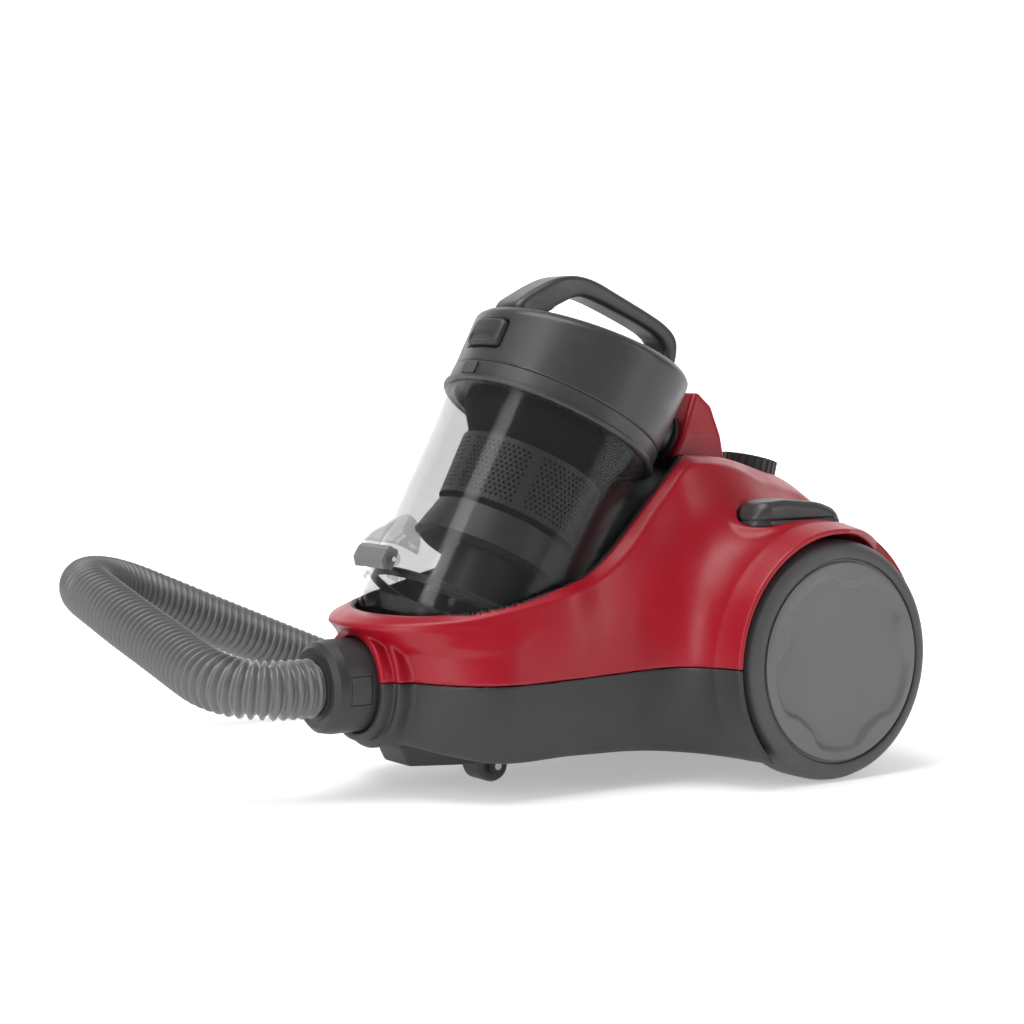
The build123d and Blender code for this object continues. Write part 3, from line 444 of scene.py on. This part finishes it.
def main_body(x, wide, z):
    """Casing without its arches, pedal seats, belly and collar, and with a bevelled rim."""
    edge_z, edge_y = along(EDGE_HIGH, x), along(EDGE_HALF, x)
    top_z = along(TOP_HIGH, x)
    side = side_wall(x, wide, z, edge_y, edge_z)
    rise = top_z - edge_z
    bevel = (side * rise + (z - edge_z) * 7.5) / np.sqrt(rise**2 + 56)
    steep = np.interp(x, [-60, -40, -20, 30, 45, 184, 206], [1, 0.9, 0.68, 0.68, 0.98, 0.9, 0.6])
    body = meet(meet(side, bevel, 1.3), (z - top_z) * steep, 1.8)
    return meet(body, x - REAR_X, 3)


def wheel_drum(x, wide, z):
    """Drum over a wheel, narrower at its lip, which draws in towards the rear."""
    out = np.clip((wide - ARCH_Y) / (LIP_Y - ARCH_Y), 0, 1.3)
    lip_end = np.maximum(LIP_Y - LIP_DRAW * np.clip(x - LIP_END_X, 0, None), ARCH_Y)
    return meet(from_wheel(x, z) - ARCH_R + (ARCH_R - LIP_R) * out, wide - lip_end, 1.2)


def belly(x, wide, z):
    """Bump under the casing that holds the caster."""
    half = 38 - np.clip((-x - 100) * 0.45, 0, 24) - np.clip(24 - z, 0, 20) * 0.4
    bump = meet(wide - half, 17.5 - z, 2)
    bump = meet(bump, (-x - 146 - (z - 18) * 0.45) * 0.9, 2)
    bump = meet(bump, (x + 53 - (z - 18) * 1.2) * 0.65, 2)
    return meet(bump, z - 44, 1)


def outer_shape(x, y, z):
    """Below zero inside the casing's outer surface; about the distance from it."""
    wide = np.abs(y)
    blend = np.interp(x, [60, 150, 175], [42, 22, 10])
    body = join(main_body(x, wide, z), wheel_drum(x, wide, z), blend)
    for place in (-1, 1):
        seat = meet(pedal_plan(x, y, place) - 4.0, slab(z, 140, 164.5), 2.0)
        body = join(body, seat, 7)
    body = meet(body, along(FLOOR_LOW, x) - z, 4)
    body = join(body, belly(x, wide, z), 2)
    return join(body, collar(x, y, z), 2.5)


def collar(x, y, z):
    """Ring round the hose inlet: a short front step and a wider root."""
    reach = from_inlet(y, z)
    front = meet(reach - 35.8, -x - 178, 2.0)
    front = meet(front, x + 140, 1)
    root = meet(reach - 41.0, -x - 169.5, 2.5)
    return join(front, meet(root, x + 140, 1), 0.6)


def pedal_plan(x, y, place):
    """Distance from a pedal's long axis, less its half width."""
    past = np.maximum(slab(x, PEDAL_FRONT, PEDAL_REAR), 0)
    return np.sqrt(past**2 + (y - place * PEDAL_Y) ** 2) - PEDAL_HALF


# Radius of the cradle against the height along the bin's axis.
CRADLE = [(-400, 58), (-175.5, 58), (-162, 68), (-146, 74.8), (-85, 74.8), (-50, 77.6),
          (-18, 82), (14, 87.3), (40, 92), (400, 92)]


def cradle_bore(x, y, z, grow):
    """The leaning bore that the bin sits in, and the channel at its back for the hinge."""
    back, up = bin_frame(x, z)
    reach = np.sqrt(back**2 + y**2)
    bore = np.maximum(reach - np.interp(up, *np.array(CRADLE, float).T), -175.5 - up)
    channel = overlap(slab(back, 40, 81), np.abs(y) - 23.5, -152 - up)
    return join(bore, channel, 2) - grow


def liner_shape(x, y, z):
    """Thin black wall of the cradle, a little lower than the casing's rim."""
    back, up = bin_frame(x, z)
    wall = overlap(cradle_bore(x, y, z, 1.8), -cradle_bore(x, y, z, -2.3),
                   outer_shape(x, y, z) + 0.9)
    duct = overlap(np.sqrt(back**2 + y**2) - 20, up + 160)
    outlet = overlap(from_outlet(y, up) - 20.4, 60 - back)
    socket = overlap(from_inlet(y, z) - 21, x + 130)
    return overlap(wall, -union(duct, socket, outlet))


def top_cuts(x, y, z):
    """Wells for the two pedals and the knob, and the slot for the fin."""
    pedals = [overlap(pedal_plan(x, y, place) - 0.9, 141 - z) for place in (-1, 1)]
    away = (x - KNOB_X) * math.sin(KNOB_TILT) + (z - KNOB_Z) * math.cos(KNOB_TILT)
    flat = (x - KNOB_X) * math.cos(KNOB_TILT) - (z - KNOB_Z) * math.sin(KNOB_TILT)
    knob = overlap(np.sqrt(flat**2 + y**2) - 21.4, -14 - away)
    fin = overlap(slab(x, 55, 106.4), np.abs(y) - 24.3, 196 - z)
    return union(*pedals, knob, fin)


def end_cuts(x, y, z):
    """Bores for the hose at the front; window and cord gland at the rear."""
    port = overlap(from_inlet(y, z) - 30.3, x + 172)
    socket = overlap(from_inlet(y, z) - 21.4, x + 130)
    window = overlap(slab(z, 59.4, 118.6), np.abs(y) - 44.6, 197 - x)
    gland = overlap(np.sqrt((y - 66) ** 2 + (z - 66) ** 2) - 8.2, 190 - x)
    return union(port, socket, window, gland)


def low_cuts(x, y, z):
    """Wheel wells, axle holes, caster tower and screw holes."""
    wide = np.abs(y)
    wheel = overlap(from_wheel(x, z) - WELL_R, WELL_Y - wide)
    axle = overlap(from_wheel(x, z) - AXLE_R, 80 - wide)
    tower = overlap(from_caster(x, y) - 26.6, z - 28.3)
    stem = overlap(from_caster(x, y) - 4.5, z - 45)
    screws = [overlap(np.sqrt((x - sx) ** 2 + (wide - sy) ** 2) - 3.6, z - 40)
              for sx, sy in SCREWS]
    return union(wheel, axle, tower, stem, *screws)


def cuts(x, y, z):
    """Below zero where something is cut from the casing."""
    return union(cradle_bore(x, y, z, 0), top_cuts(x, y, z), end_cuts(x, y, z),
                 low_cuts(x, y, z))


def casing_walls(x, y, z):
    """The casing as a hollow wall, with the caster's tower and every cut."""
    outer = outer_shape(x, y, z)
    well = overlap(from_wheel(x, z) - WELL_R - 3.5, WELL_Y - 3.5 - np.abs(y))
    walls = overlap(outer, -overlap(outer + WALL, -well))
    boss = from_caster(x, y)
    tower = overlap(np.abs(boss - 28.2) - 1.5, slab(z, 20.5, 33))
    deck = overlap(boss - 29, slab(z, 28.3, 33))
    walls = union(walls, overlap(union(tower, deck), outer))
    return meet(walls, -cuts(x, y, z), 1.9)


def shell_shape(x, y, z):
    return meet(casing_walls(x, y, z), along(PARTING, x) + 0.25 - z, 0.6)


def chassis_shape(x, y, z):
    return meet(casing_walls(x, y, z), z - along(PARTING, x) + 0.25, 0.6)


CORNERS = [(i, j, k) for i in (0, 1) for j in (0, 1) for k in (0, 1)]
LAYERS = 16                     # grid layers worked out at a time
GRID, FINE_GRID = 1.5, 1.2      # cells of the moulded surfaces, and of small parts


def sampled(shape, lines):
    """Values of a shape on a grid, a few layers at a time."""
    values = np.empty([len(line) for line in lines])
    for k in range(0, len(lines[0]), LAYERS):
        values[k:k + LAYERS] = shape(lines[0][k:k + LAYERS, None, None],
                                     lines[1][None, :, None], lines[2][None, None, :])
    return values


def mean_crossing(corner_value):
    """Mean place in each cell of where the surface crosses its edges, from 0 to 1."""
    cells = len(corner_value[0])
    total = np.zeros((cells, 3))
    count = np.zeros(cells)
    for a in range(8):
        for axis in range(3):
            if CORNERS[a][axis]:
                continue
            b = a + (4, 2, 1)[axis]
            crossed = (corner_value[a] < 0) != (corner_value[b] < 0)
            part = np.zeros(cells)
            part[crossed] = corner_value[a][crossed] / (
                corner_value[a][crossed] - corner_value[b][crossed])
            spot = np.tile(np.array(CORNERS[a], float), (cells, 1))
            spot[:, axis] = part
            total += spot * crossed[:, None]
            count += crossed
    return total / count[:, None]


def crossed_faces(inside, number, size):
    """A quad round each grid edge that the surface crosses, facing outwards."""
    faces = []
    here = inside[tuple(slice(0, n) for n in size)]
    for axis in range(3):
        first, second = [(1, 2), (2, 0), (0, 1)][axis]
        next_one = [slice(0, n) for n in size]
        next_one[axis] = slice(1, size[axis] + 1)
        spots = np.argwhere(here != inside[tuple(next_one)])
        spots = spots[(spots[:, first] > 0) & (spots[:, second] > 0)]
        outward = here[tuple(spots.T)]
        ring = []
        for da, db in ((0, 0), (-1, 0), (-1, -1), (0, -1)):
            shifted = spots.copy()
            shifted[:, first] += da
            shifted[:, second] += db
            ring.append(number[tuple(shifted.T)])
        ring = np.stack(ring, axis=1)
        ring[outward] = ring[outward][:, ::-1]
        faces.append(ring[:, ::-1])
    return np.concatenate(faces)


def surface_of(name, shape, low, high, step):
    """Quad mesh of the surface where a shape is zero, one point in each cell it crosses."""
    lines = [np.arange(low[i], high[i] + step, step) for i in range(3)]
    values = sampled(shape, lines)
    inside = values < 0
    size = np.array(values.shape) - 1
    cell = [tuple(slice(c, c + n) for c, n in zip(corner, size)) for corner in CORNERS]
    filled = sum(inside[c].astype(np.int8) for c in cell)
    active = (filled > 0) & (filled < 8)
    number = -np.ones(active.shape, np.int64)
    number[active] = np.arange(active.sum())
    middle = mean_crossing([values[c][active] for c in cell])
    points = np.array(low) + (np.argwhere(active) + middle) * step
    for _ in range(3):
        points = settle(shape, points, step)
    return mesh_object(name, points, crossed_faces(inside, number, size).tolist())


def slope_of(shape, points):
    """How fast a shape's value changes along each axis."""
    reach = 0.15
    slope = np.empty_like(points)
    for axis in range(3):
        ahead, behind = points.copy(), points.copy()
        ahead[:, axis] += reach
        behind[:, axis] -= reach
        slope[:, axis] = (shape(*ahead.T) - shape(*behind.T)) / (2 * reach)
    return slope


def settle(shape, points, step):
    """Points moved onto the surface along its slope."""
    value = shape(*points.T)
    slope = slope_of(shape, points)
    move = -slope * (value / np.maximum((slope**2).sum(axis=1), 0.05))[:, None]
    far = np.linalg.norm(move, axis=1)
    move *= np.minimum(1, 0.5 * step / np.maximum(far, 1e-9))[:, None]
    return points + move


CASING_PARTS = (
    ("red_shell_skin", shell_shape, (-186, -142, 72), (210, 142, 216),
     "red", "upper_shell", "red_shell"),
    ("cradle_liner_skin", liner_shape, (-164, -98, 50), (88, 98, 214),
     "liner", "cradle_liner", "black_liner"),
    ("chassis_skin", chassis_shape, (-182, -142, 12), (210, 142, 84),
     "dark", "lower_chassis", "dark_grey"),
)


def casing(finish):
    grid = GRID
    for name, shape, low, high, key, node, slot in CASING_PARTS:
        as_part(surface_of(name, shape, low, high, grid), finish[key], "machine", node, slot)


# ---- lid, handle, button, fin and pedals ----------------------------------------------
LID_R = 73.0
HANDLE_OUTER_POINTS = [(-71, 50), (-69, 58), (-60, 73), (-49.5, 86.5), (-40, 94.5),
                       (-30, 99.5), (-18, 102.5), (0, 104), (30, 106), (46, 106), (57, 103),
                       (63, 96), (66.5, 84), (68, 68), (68, 50)]
HANDLE_HOLE_POINTS = [(-46, 50), (-41, 68), (-36, 76), (-29, 84), (-20, 88.5), (0, 92),
                      (30, 95), (44, 95), (51, 92.5), (55, 87), (57.5, 72), (57.5, 50)]
FIN_SIDE = [(55, 200), (84.5, 251), (89, 251), (98, 242), (106, 205), (106, 198)]
PEDAL_TOP = [(60, 165), (66, 174), (72, 179.5), (84, 182), (108, 181.3), (128, 178),
             (138, 173.5), (146, 166), (150, 162)]


def outline_distance(px, py, outline):
    """Distance from a closed outline, below zero inside it."""
    px, py = np.broadcast_arrays(px, py)
    near = np.full(px.shape, np.inf)
    inside = np.zeros(px.shape, bool)
    for (ax, ay), (bx, by) in zip(outline, outline[1:] + outline[:1]):
        run, rise = bx - ax, by - ay
        part = np.clip(((px - ax) * run + (py - ay) * rise) / (run**2 + rise**2), 0, 1)
        near = np.minimum(near, (px - ax - part * run) ** 2 + (py - ay - part * rise) ** 2)
        if rise:
            inside ^= ((ay > py) != (by > py)) & (px < run * (py - ay) / rise + ax)
    return np.where(inside, -1, 1) * np.sqrt(near)


def rounded(outline, steps=5):
    """Closed outline with a smooth curve through its points."""
    points = []
    count = len(outline)
    for k in range(count):
        a, b, c, d = (np.array(outline[(k + i) % count], float) for i in (-1, 0, 1, 2))
        for step in range(steps):
            t = step / steps
            points.append(tuple(0.5 * (2 * b + (c - a) * t + (2 * a - 5 * b + 4 * c - d) * t**2
                                       + (3 * b - a - 3 * c + d) * t**3)))
    return points


HANDLE_OUTER = rounded(HANDLE_OUTER_POINTS)
HANDLE_HOLE = rounded(HANDLE_HOLE_POINTS)


def lid_shape(x, y, z):
    """Lid as a hollow drum with a sloping top, its outlet stub and the button's pocket."""
    back, up = bin_frame(x, z)
    reach = np.sqrt(back**2 + y**2)
    side = reach - LID_R - (up - 13) * 0.02
    top = up - 63.5 - 0.12 * back
    outer = meet(meet(side, top, 1.5), (side + top) * 0.7071 + 3.2, 1.5)
    outer = meet(outer, 13.3 - up, 1.0)
    inner = meet(side + 4.0, top + 4.0, 3)
    shape = np.maximum(outer, -inner)
    tube = from_outlet(y, up)
    stub = np.maximum(tube - 19, slab(back, 68, 81.8))
    shape = np.maximum(np.minimum(shape, stub), -np.maximum(tube - 16, 60 - back))
    pocket = meet(slab(up, 23.4, 43.6), meet(np.abs(y) - 17.4, back + 60, 1), 3)
    return meet(shape, -pocket, 1.0)


def handle_shape(x, y, z):
    """Carry handle: a flat hoop across the lid's top."""
    back, up = bin_frame(x, z)
    hoop = meet(outline_distance(back, up, HANDLE_OUTER),
                -outline_distance(back, up, HANDLE_HOLE), 3)
    width = 13 + np.clip((70 - up) * 0.12, 0, 3)
    hoop = meet(hoop, np.sqrt(back**2 + y**2) - 69.5, 1)
    return meet(meet(hoop, np.abs(y) - width, 5), 62.5 + 0.12 * back - up, 1)


def button_shape(x, y, z):
    """Release button on the front of the lid, with a shallow dent."""
    back, up = bin_frame(x, z)
    face = np.sqrt((back - 2) ** 2 + y**2) - 78.5
    plan = meet(slab(up, 24, 43), np.abs(y) - 16.9, 5)
    pad = meet(meet(plan, face, 2.5), back + 68.5, 0.5)
    dent = meet(meet(slab(up, 26.6, 32), np.abs(y) - 13.5, 3), -(face + 1.0), 1)
    return meet(pad, -dent, 1)


def fin_shape(x, y, z):
    """Fin behind the bin, with the bore of the clean-air outlet."""
    half = np.interp(z, [198, 222, 251], [24, 24, 16.5])
    fin = meet(outline_distance(x, z, FIN_SIDE), np.abs(y) - half, 3.5)
    back, up = bin_frame(x, z)
    bore = overlap(from_outlet(y, up) - 17.2, slab(back, 60, 98))
    return meet(fin, -bore, 1)


def pedal_shape(place):
    """Shape of the pedal on the side that place gives: a long pad with a groove round it."""
    def shape(x, y, z):
        plan = pedal_plan(x, y, place) - np.clip((z - 170) * 0.05, -0.4, 0)
        top = (z - along(PEDAL_TOP, x)) * 0.93
        pad = meet(plan, top, 2)
        pad = meet(pad, (plan + top) * 0.7071 + 2.6, 1.5)
        waist = np.maximum(slab(z, 168.0, 169.6), -plan - 0.9)
        return meet(meet(pad, -waist, 0.6), 159.2 - z, 1)
    return shape


def moulded_parts(finish):
    grid = GRID
    as_part(surface_of("lid_skin", lid_shape, (-96, -78, 192), (84, 78, 330), grid),
            finish["lid"], "lid", "lid_shell", "lid_grey")
    as_part(surface_of("carry_handle_skin", handle_shape, (-80, -20, 214), (96, 20, 340), grid),
            finish["lid"], "lid", "carry_handle", "lid_grey")
    as_part(surface_of("lid_button_skin", button_shape, (-96, -20, 264), (-60, 20, 312),
                       FINE_GRID),
            finish["dark"], "lid_key", "lid_button", "light_grey")
    as_part(surface_of("outlet_fin_skin", fin_shape, (50, -27, 195), (110, 27, 255), grid),
            finish["red"], "machine", "outlet_fin", "red_shell")
    for name, body, place in (("power_pedal", "power_key", -1), ("rewind_pedal", "rewind_key", 1)):
        low, high = sorted((place * 74, place * 106))
        pad = surface_of(name + "_skin", pedal_shape(place), (62, low, 156), (150, high, 186),
                         FINE_GRID)
        as_part(pad, finish["lid"], body, name, "lid_grey")


# ---- wheels ---------------------------------------------------------------------------
TYRE = [(66.3, 106), (72, 104.3), (76, 104.8), (78, 107.5), (78.9, 111.5), (79, 116),
        (79, 126), (78.8, 130), (78, 134), (76.4, 137.4), (73.8, 139.8), (70.6, 140.9),
        (67.6, 141), (66.9, 140.6), (66.3, 139.6)]
CAP_R, CAP_BACK = 65.0, 134.5
CAP_STEPS = 240
CAP_RINGS = [0.05 + 3.2 * k for k in range(13)] + [40.0 + 0.8 * k for k in range(32)] + [CAP_R]
LOBES, LOBE_TURN = 5, math.radians(122)


def cap_height(radius, turn):
    """How far out a wheel cap's face is: a low dome with a five-lobed recess."""
    wave = math.tanh(2.2 * (math.cos(LOBES * (turn - LOBE_TURN)) + 0.4))
    edge = 53.5 + 4.0 * wave
    face = 143.9 - 2.2 * max(0.0, (radius - 30) / 36) ** 2
    inward = min(1.0, max(0.0, (edge - radius) / 5.0 + 0.5))
    step = inward * inward * (3 - 2 * inward)
    rim = max(0.0, radius - 63.6)
    return face - (face - 139.7) * step - rim * rim * 0.9


def wheel_cap(name, place):
    """Cap with its shaped face and a flat back; each centre is a ring too small to see."""
    points = []
    for number, radius in enumerate(CAP_RINGS + [CAP_R, CAP_RINGS[0]]):
        on_face = number < len(CAP_RINGS)
        for k in range(CAP_STEPS):
            turn = 2 * math.pi * k / CAP_STEPS
            out = cap_height(radius, turn) if on_face else CAP_BACK
            points.append((WHEEL_X + radius * math.cos(turn), place * out,
                           WHEEL_Z + radius * math.sin(turn)))
    faces = quad_grid(len(CAP_RINGS) + 2, CAP_STEPS, closed_cols=True)
    if place > 0:
        faces = [tuple(reversed(face)) for face in faces]
    return mesh_object(name, points, faces)


def wheels(finish):
    for name, place in (("left", -1), ("right", 1)):
        tyre = turned(name + "_tyre_skin", TYRE, (WHEEL_X, 0, WHEEL_Z), (0, place, 0),
                      (1, 0, 0))
        as_part(tyre, finish["tyre"], name + "_wheel", name + "_tyre", "tyre_grey")
        as_part(wheel_cap(name + "_cap_skin", place), finish["wheel"], name + "_wheel",
                name + "_cap", "wheel_grey")


# ---- bin --------------------------------------------------------------------------------
SCREEN_LOW, SCREEN_HIGH = -68.0, -24.0
SCREEN_DEPTH = 1.3
HOLE_PITCH, HOLE_R = 3.5, 1.0
PANELS, PANEL_COLUMNS = 6, 14


def screen_radius(up):
    """Radius of the shroud, which widens a little towards its top."""
    return 47.6 + 1.6 * (up + 72) / 52


def shroud_screen(finish):
    """Perforated sheet round the cyclone: round holes in six panels between plain bars."""
    columns = PANELS * PANEL_COLUMNS
    rows = int((SCREEN_HIGH - SCREEN_LOW) / (HOLE_PITCH * 0.866))
    swing = 2 * math.pi / columns
    points, faces = [], []

    def put(turn, up, sink=0.0):
        radius = screen_radius(up) - sink
        points.append(bin_spot(radius * math.cos(turn), radius * math.sin(turn), up))
        return len(points) - 1

    for row in range(rows):
        for column in range(columns):
            turn0 = (column + 0.5 * (row % 2)) * swing
            up0 = SCREEN_LOW + (row + 0.5) * HOLE_PITCH * 0.866
            corners = []
            for k in range(6):
                angle = math.radians(60 * k + 30)
                corners.append(put(turn0 + swing * 0.5774 * math.cos(angle),
                                   up0 + HOLE_PITCH * 0.5774 * math.sin(angle)))
            beside_bar = column % PANEL_COLUMNS in (0, PANEL_COLUMNS - 1)
            if beside_bar or row in (0, rows - 1):
                faces.append(tuple(corners))
                continue
            rim, foot = [], []
            for k in range(12):
                angle = math.radians(30 * k + 30)
                across = HOLE_R * math.cos(angle) * swing / HOLE_PITCH
                rim.append(put(turn0 + across, up0 + HOLE_R * math.sin(angle)))
                foot.append(put(turn0 + across, up0 + HOLE_R * math.sin(angle),
                                SCREEN_DEPTH))
            for k in range(6):
                faces.append((corners[k], corners[(k + 1) % 6], rim[(2 * k + 2) % 12],
                              rim[2 * k + 1], rim[2 * k]))
            for k in range(12):
                faces.append((rim[k], rim[(k + 1) % 12], foot[(k + 1) % 12], foot[k]))
    sheet = mesh_object("shroud_screen", points, faces, smooth=False)
    as_part(sheet, finish["shroud"], "bin", None, "shroud_grey")


def bin_wall(finish):
    """Clear wall of the bin, a little narrower towards its foot."""
    wall = [(69.6, -134), (70.3, -100), (71.1, -50), (72, 0), (69.6, 0), (68.7, -50),
            (67.9, -100), (67.2, -134)]
    axis = np.array(bin_spot(0, 0, 1)) - np.array(bin_spot(0, 0, 0))
    across = np.array(bin_spot(1, 0, 0)) - np.array(bin_spot(0, 0, 0))
    tube = turned("bin_tube_skin", wall, bin_spot(0, 0, 0), axis, across, 160)
    tube.data.set_sharp_from_angle(angle=math.radians(40))
    as_part(tube, finish["clear"], "bin", "bin_tube", "smoky_clear")


def latch_hood(finish):
    """Clear arched hood on the front of the bin, deepest at its foot."""
    points = []
    rows, cols = 28, 41
    for i in range(rows):
        for j in range(cols):
            y = 23.9 * math.sin(math.radians(90 * (2 * j / (cols - 1) - 1)))
            arch = -126 + 28 * math.sqrt(max(0.0, 1 - (y / 24) ** 2))
            top = max(arch, -121.0)
            up = -121.6 + (top + 121.6) * (1 - (1 - i / (rows - 1)) ** 1.6)
            front = 71.5 + 10.3 * (-98 - up) / 23.6
            wall = math.sqrt(70.4**2 - y**2)
            edge = min(24 - abs(y), (top - up) * 0.9) / 7.0
            edge = min(1.0, max(0.0, edge))
            swell = math.sqrt(1 - (1 - edge) ** 2)
            points.append(bin_spot(-(wall + max(0.3, front - wall) * swell), y, up))
    hood = mesh_object("latch_hood_skin", points, quad_grid(rows, cols))
    wall = hood.modifiers.new("wall", "SOLIDIFY")
    wall.thickness = 1.5 * MM
    wall.offset = 0
    as_part(hood, finish["hood"], "bin", "latch_hood", "smoky_clear")


# ---- studio -------------------------------------------------------------------------
def floor_material():
    made = bpy.data.materials.new("studio floor")
    made.use_nodes = True
    nodes, links = made.node_tree.nodes, made.node_tree.links
    shader = nodes["Principled BSDF"]
    shader.inputs["Base Color"].default_value = (0.90, 0.90, 0.905, 1)
    shader.inputs["Roughness"].default_value = 0.8
    shader.inputs["Emission Color"].default_value = (1, 1, 1, 1)
    # The floor glows less near the object than far away: painted shade round the object that
    # deepens its shadow.
    place = nodes.new("ShaderNodeTexCoord")
    away = nodes.new("ShaderNodeVectorMath")
    away.operation = "LENGTH"
    links.new(place.outputs["Object"], away.inputs[0])
    glow_dimmed_near_object = nodes.new("ShaderNodeMapRange")
    glow_dimmed_near_object.interpolation_type = "SMOOTHSTEP"
    for key, number in (("From Min", 0.25), ("From Max", 1.6), ("To Min", 0.38),
                        ("To Max", 0.85)):
        glow_dimmed_near_object.inputs[key].default_value = number
    links.new(away.outputs["Value"], glow_dimmed_near_object.inputs["Value"])
    links.new(glow_dimmed_near_object.outputs["Result"], shader.inputs["Emission Strength"])
    return made


def area_light(name, place, size, power, aim=(0, 0, 0.12)):
    data = bpy.data.lights.new(name, "AREA")
    data.shape = "RECTANGLE"
    data.size, data.size_y = size
    data.energy = power
    lamp = bpy.data.objects.new(name, data)
    lamp.location = place
    back = Vector(place) - Vector(aim)
    lamp.rotation_euler = back.to_track_quat("Z", "Y").to_euler()
    bpy.context.collection.objects.link(lamp)


def backdrop_profile():
    """Floor, the bend behind the object and the wall, as (depth, height)."""
    rows = [(-4000 + 1100 * k, 0) for k in range(6)]
    for k in range(13):
        turn = math.radians(90 * (k / 12))
        rows.append((2600 + 1200 * math.sin(turn), 1200 - 1200 * math.cos(turn)))
    return rows + [(3800, 1200 + 500 * k) for k in range(1, 6)]


def studio():
    """Pale floor that bends up behind the object, and three soft lights."""
    rows = backdrop_profile()
    points = []
    ahead = np.array([0.574, 0.819])
    across = np.array([0.819, -0.574])
    for depth, height in rows:
        for wide in (-6000, 6000):
            spot = ahead * depth + across * wide
            points.append((spot[0], spot[1], height))
    floor = mesh_object("studio_floor", points, quad_grid(len(rows), 2))
    paint(floor, floor_material())
    world = bpy.data.worlds.new("studio")
    world.use_nodes = True
    world.node_tree.nodes["Background"].inputs[0].default_value = (1, 1, 1, 1)
    world.node_tree.nodes["Background"].inputs[1].default_value = 0.24
    bpy.context.scene.world = world
    area_light("soft_top", (-0.5, 0.0, 1.8), (1.3, 1.3), 26)
    area_light("left_panel", (-2.0, -0.5, 0.9), (0.6, 1.8), 17)
    area_light("right_strip", (1.3, -1.7, 0.9), (0.30, 1.5), 8)
    bpy.context.scene.view_settings.view_transform = "Standard"


camera()
studio()
finish = materials()
hose(finish)
casing(finish)
moulded_parts(finish)
wheels(finish)
bin_wall(finish)
shroud_screen(finish)
latch_hood(finish)
finish_nodes(finish)
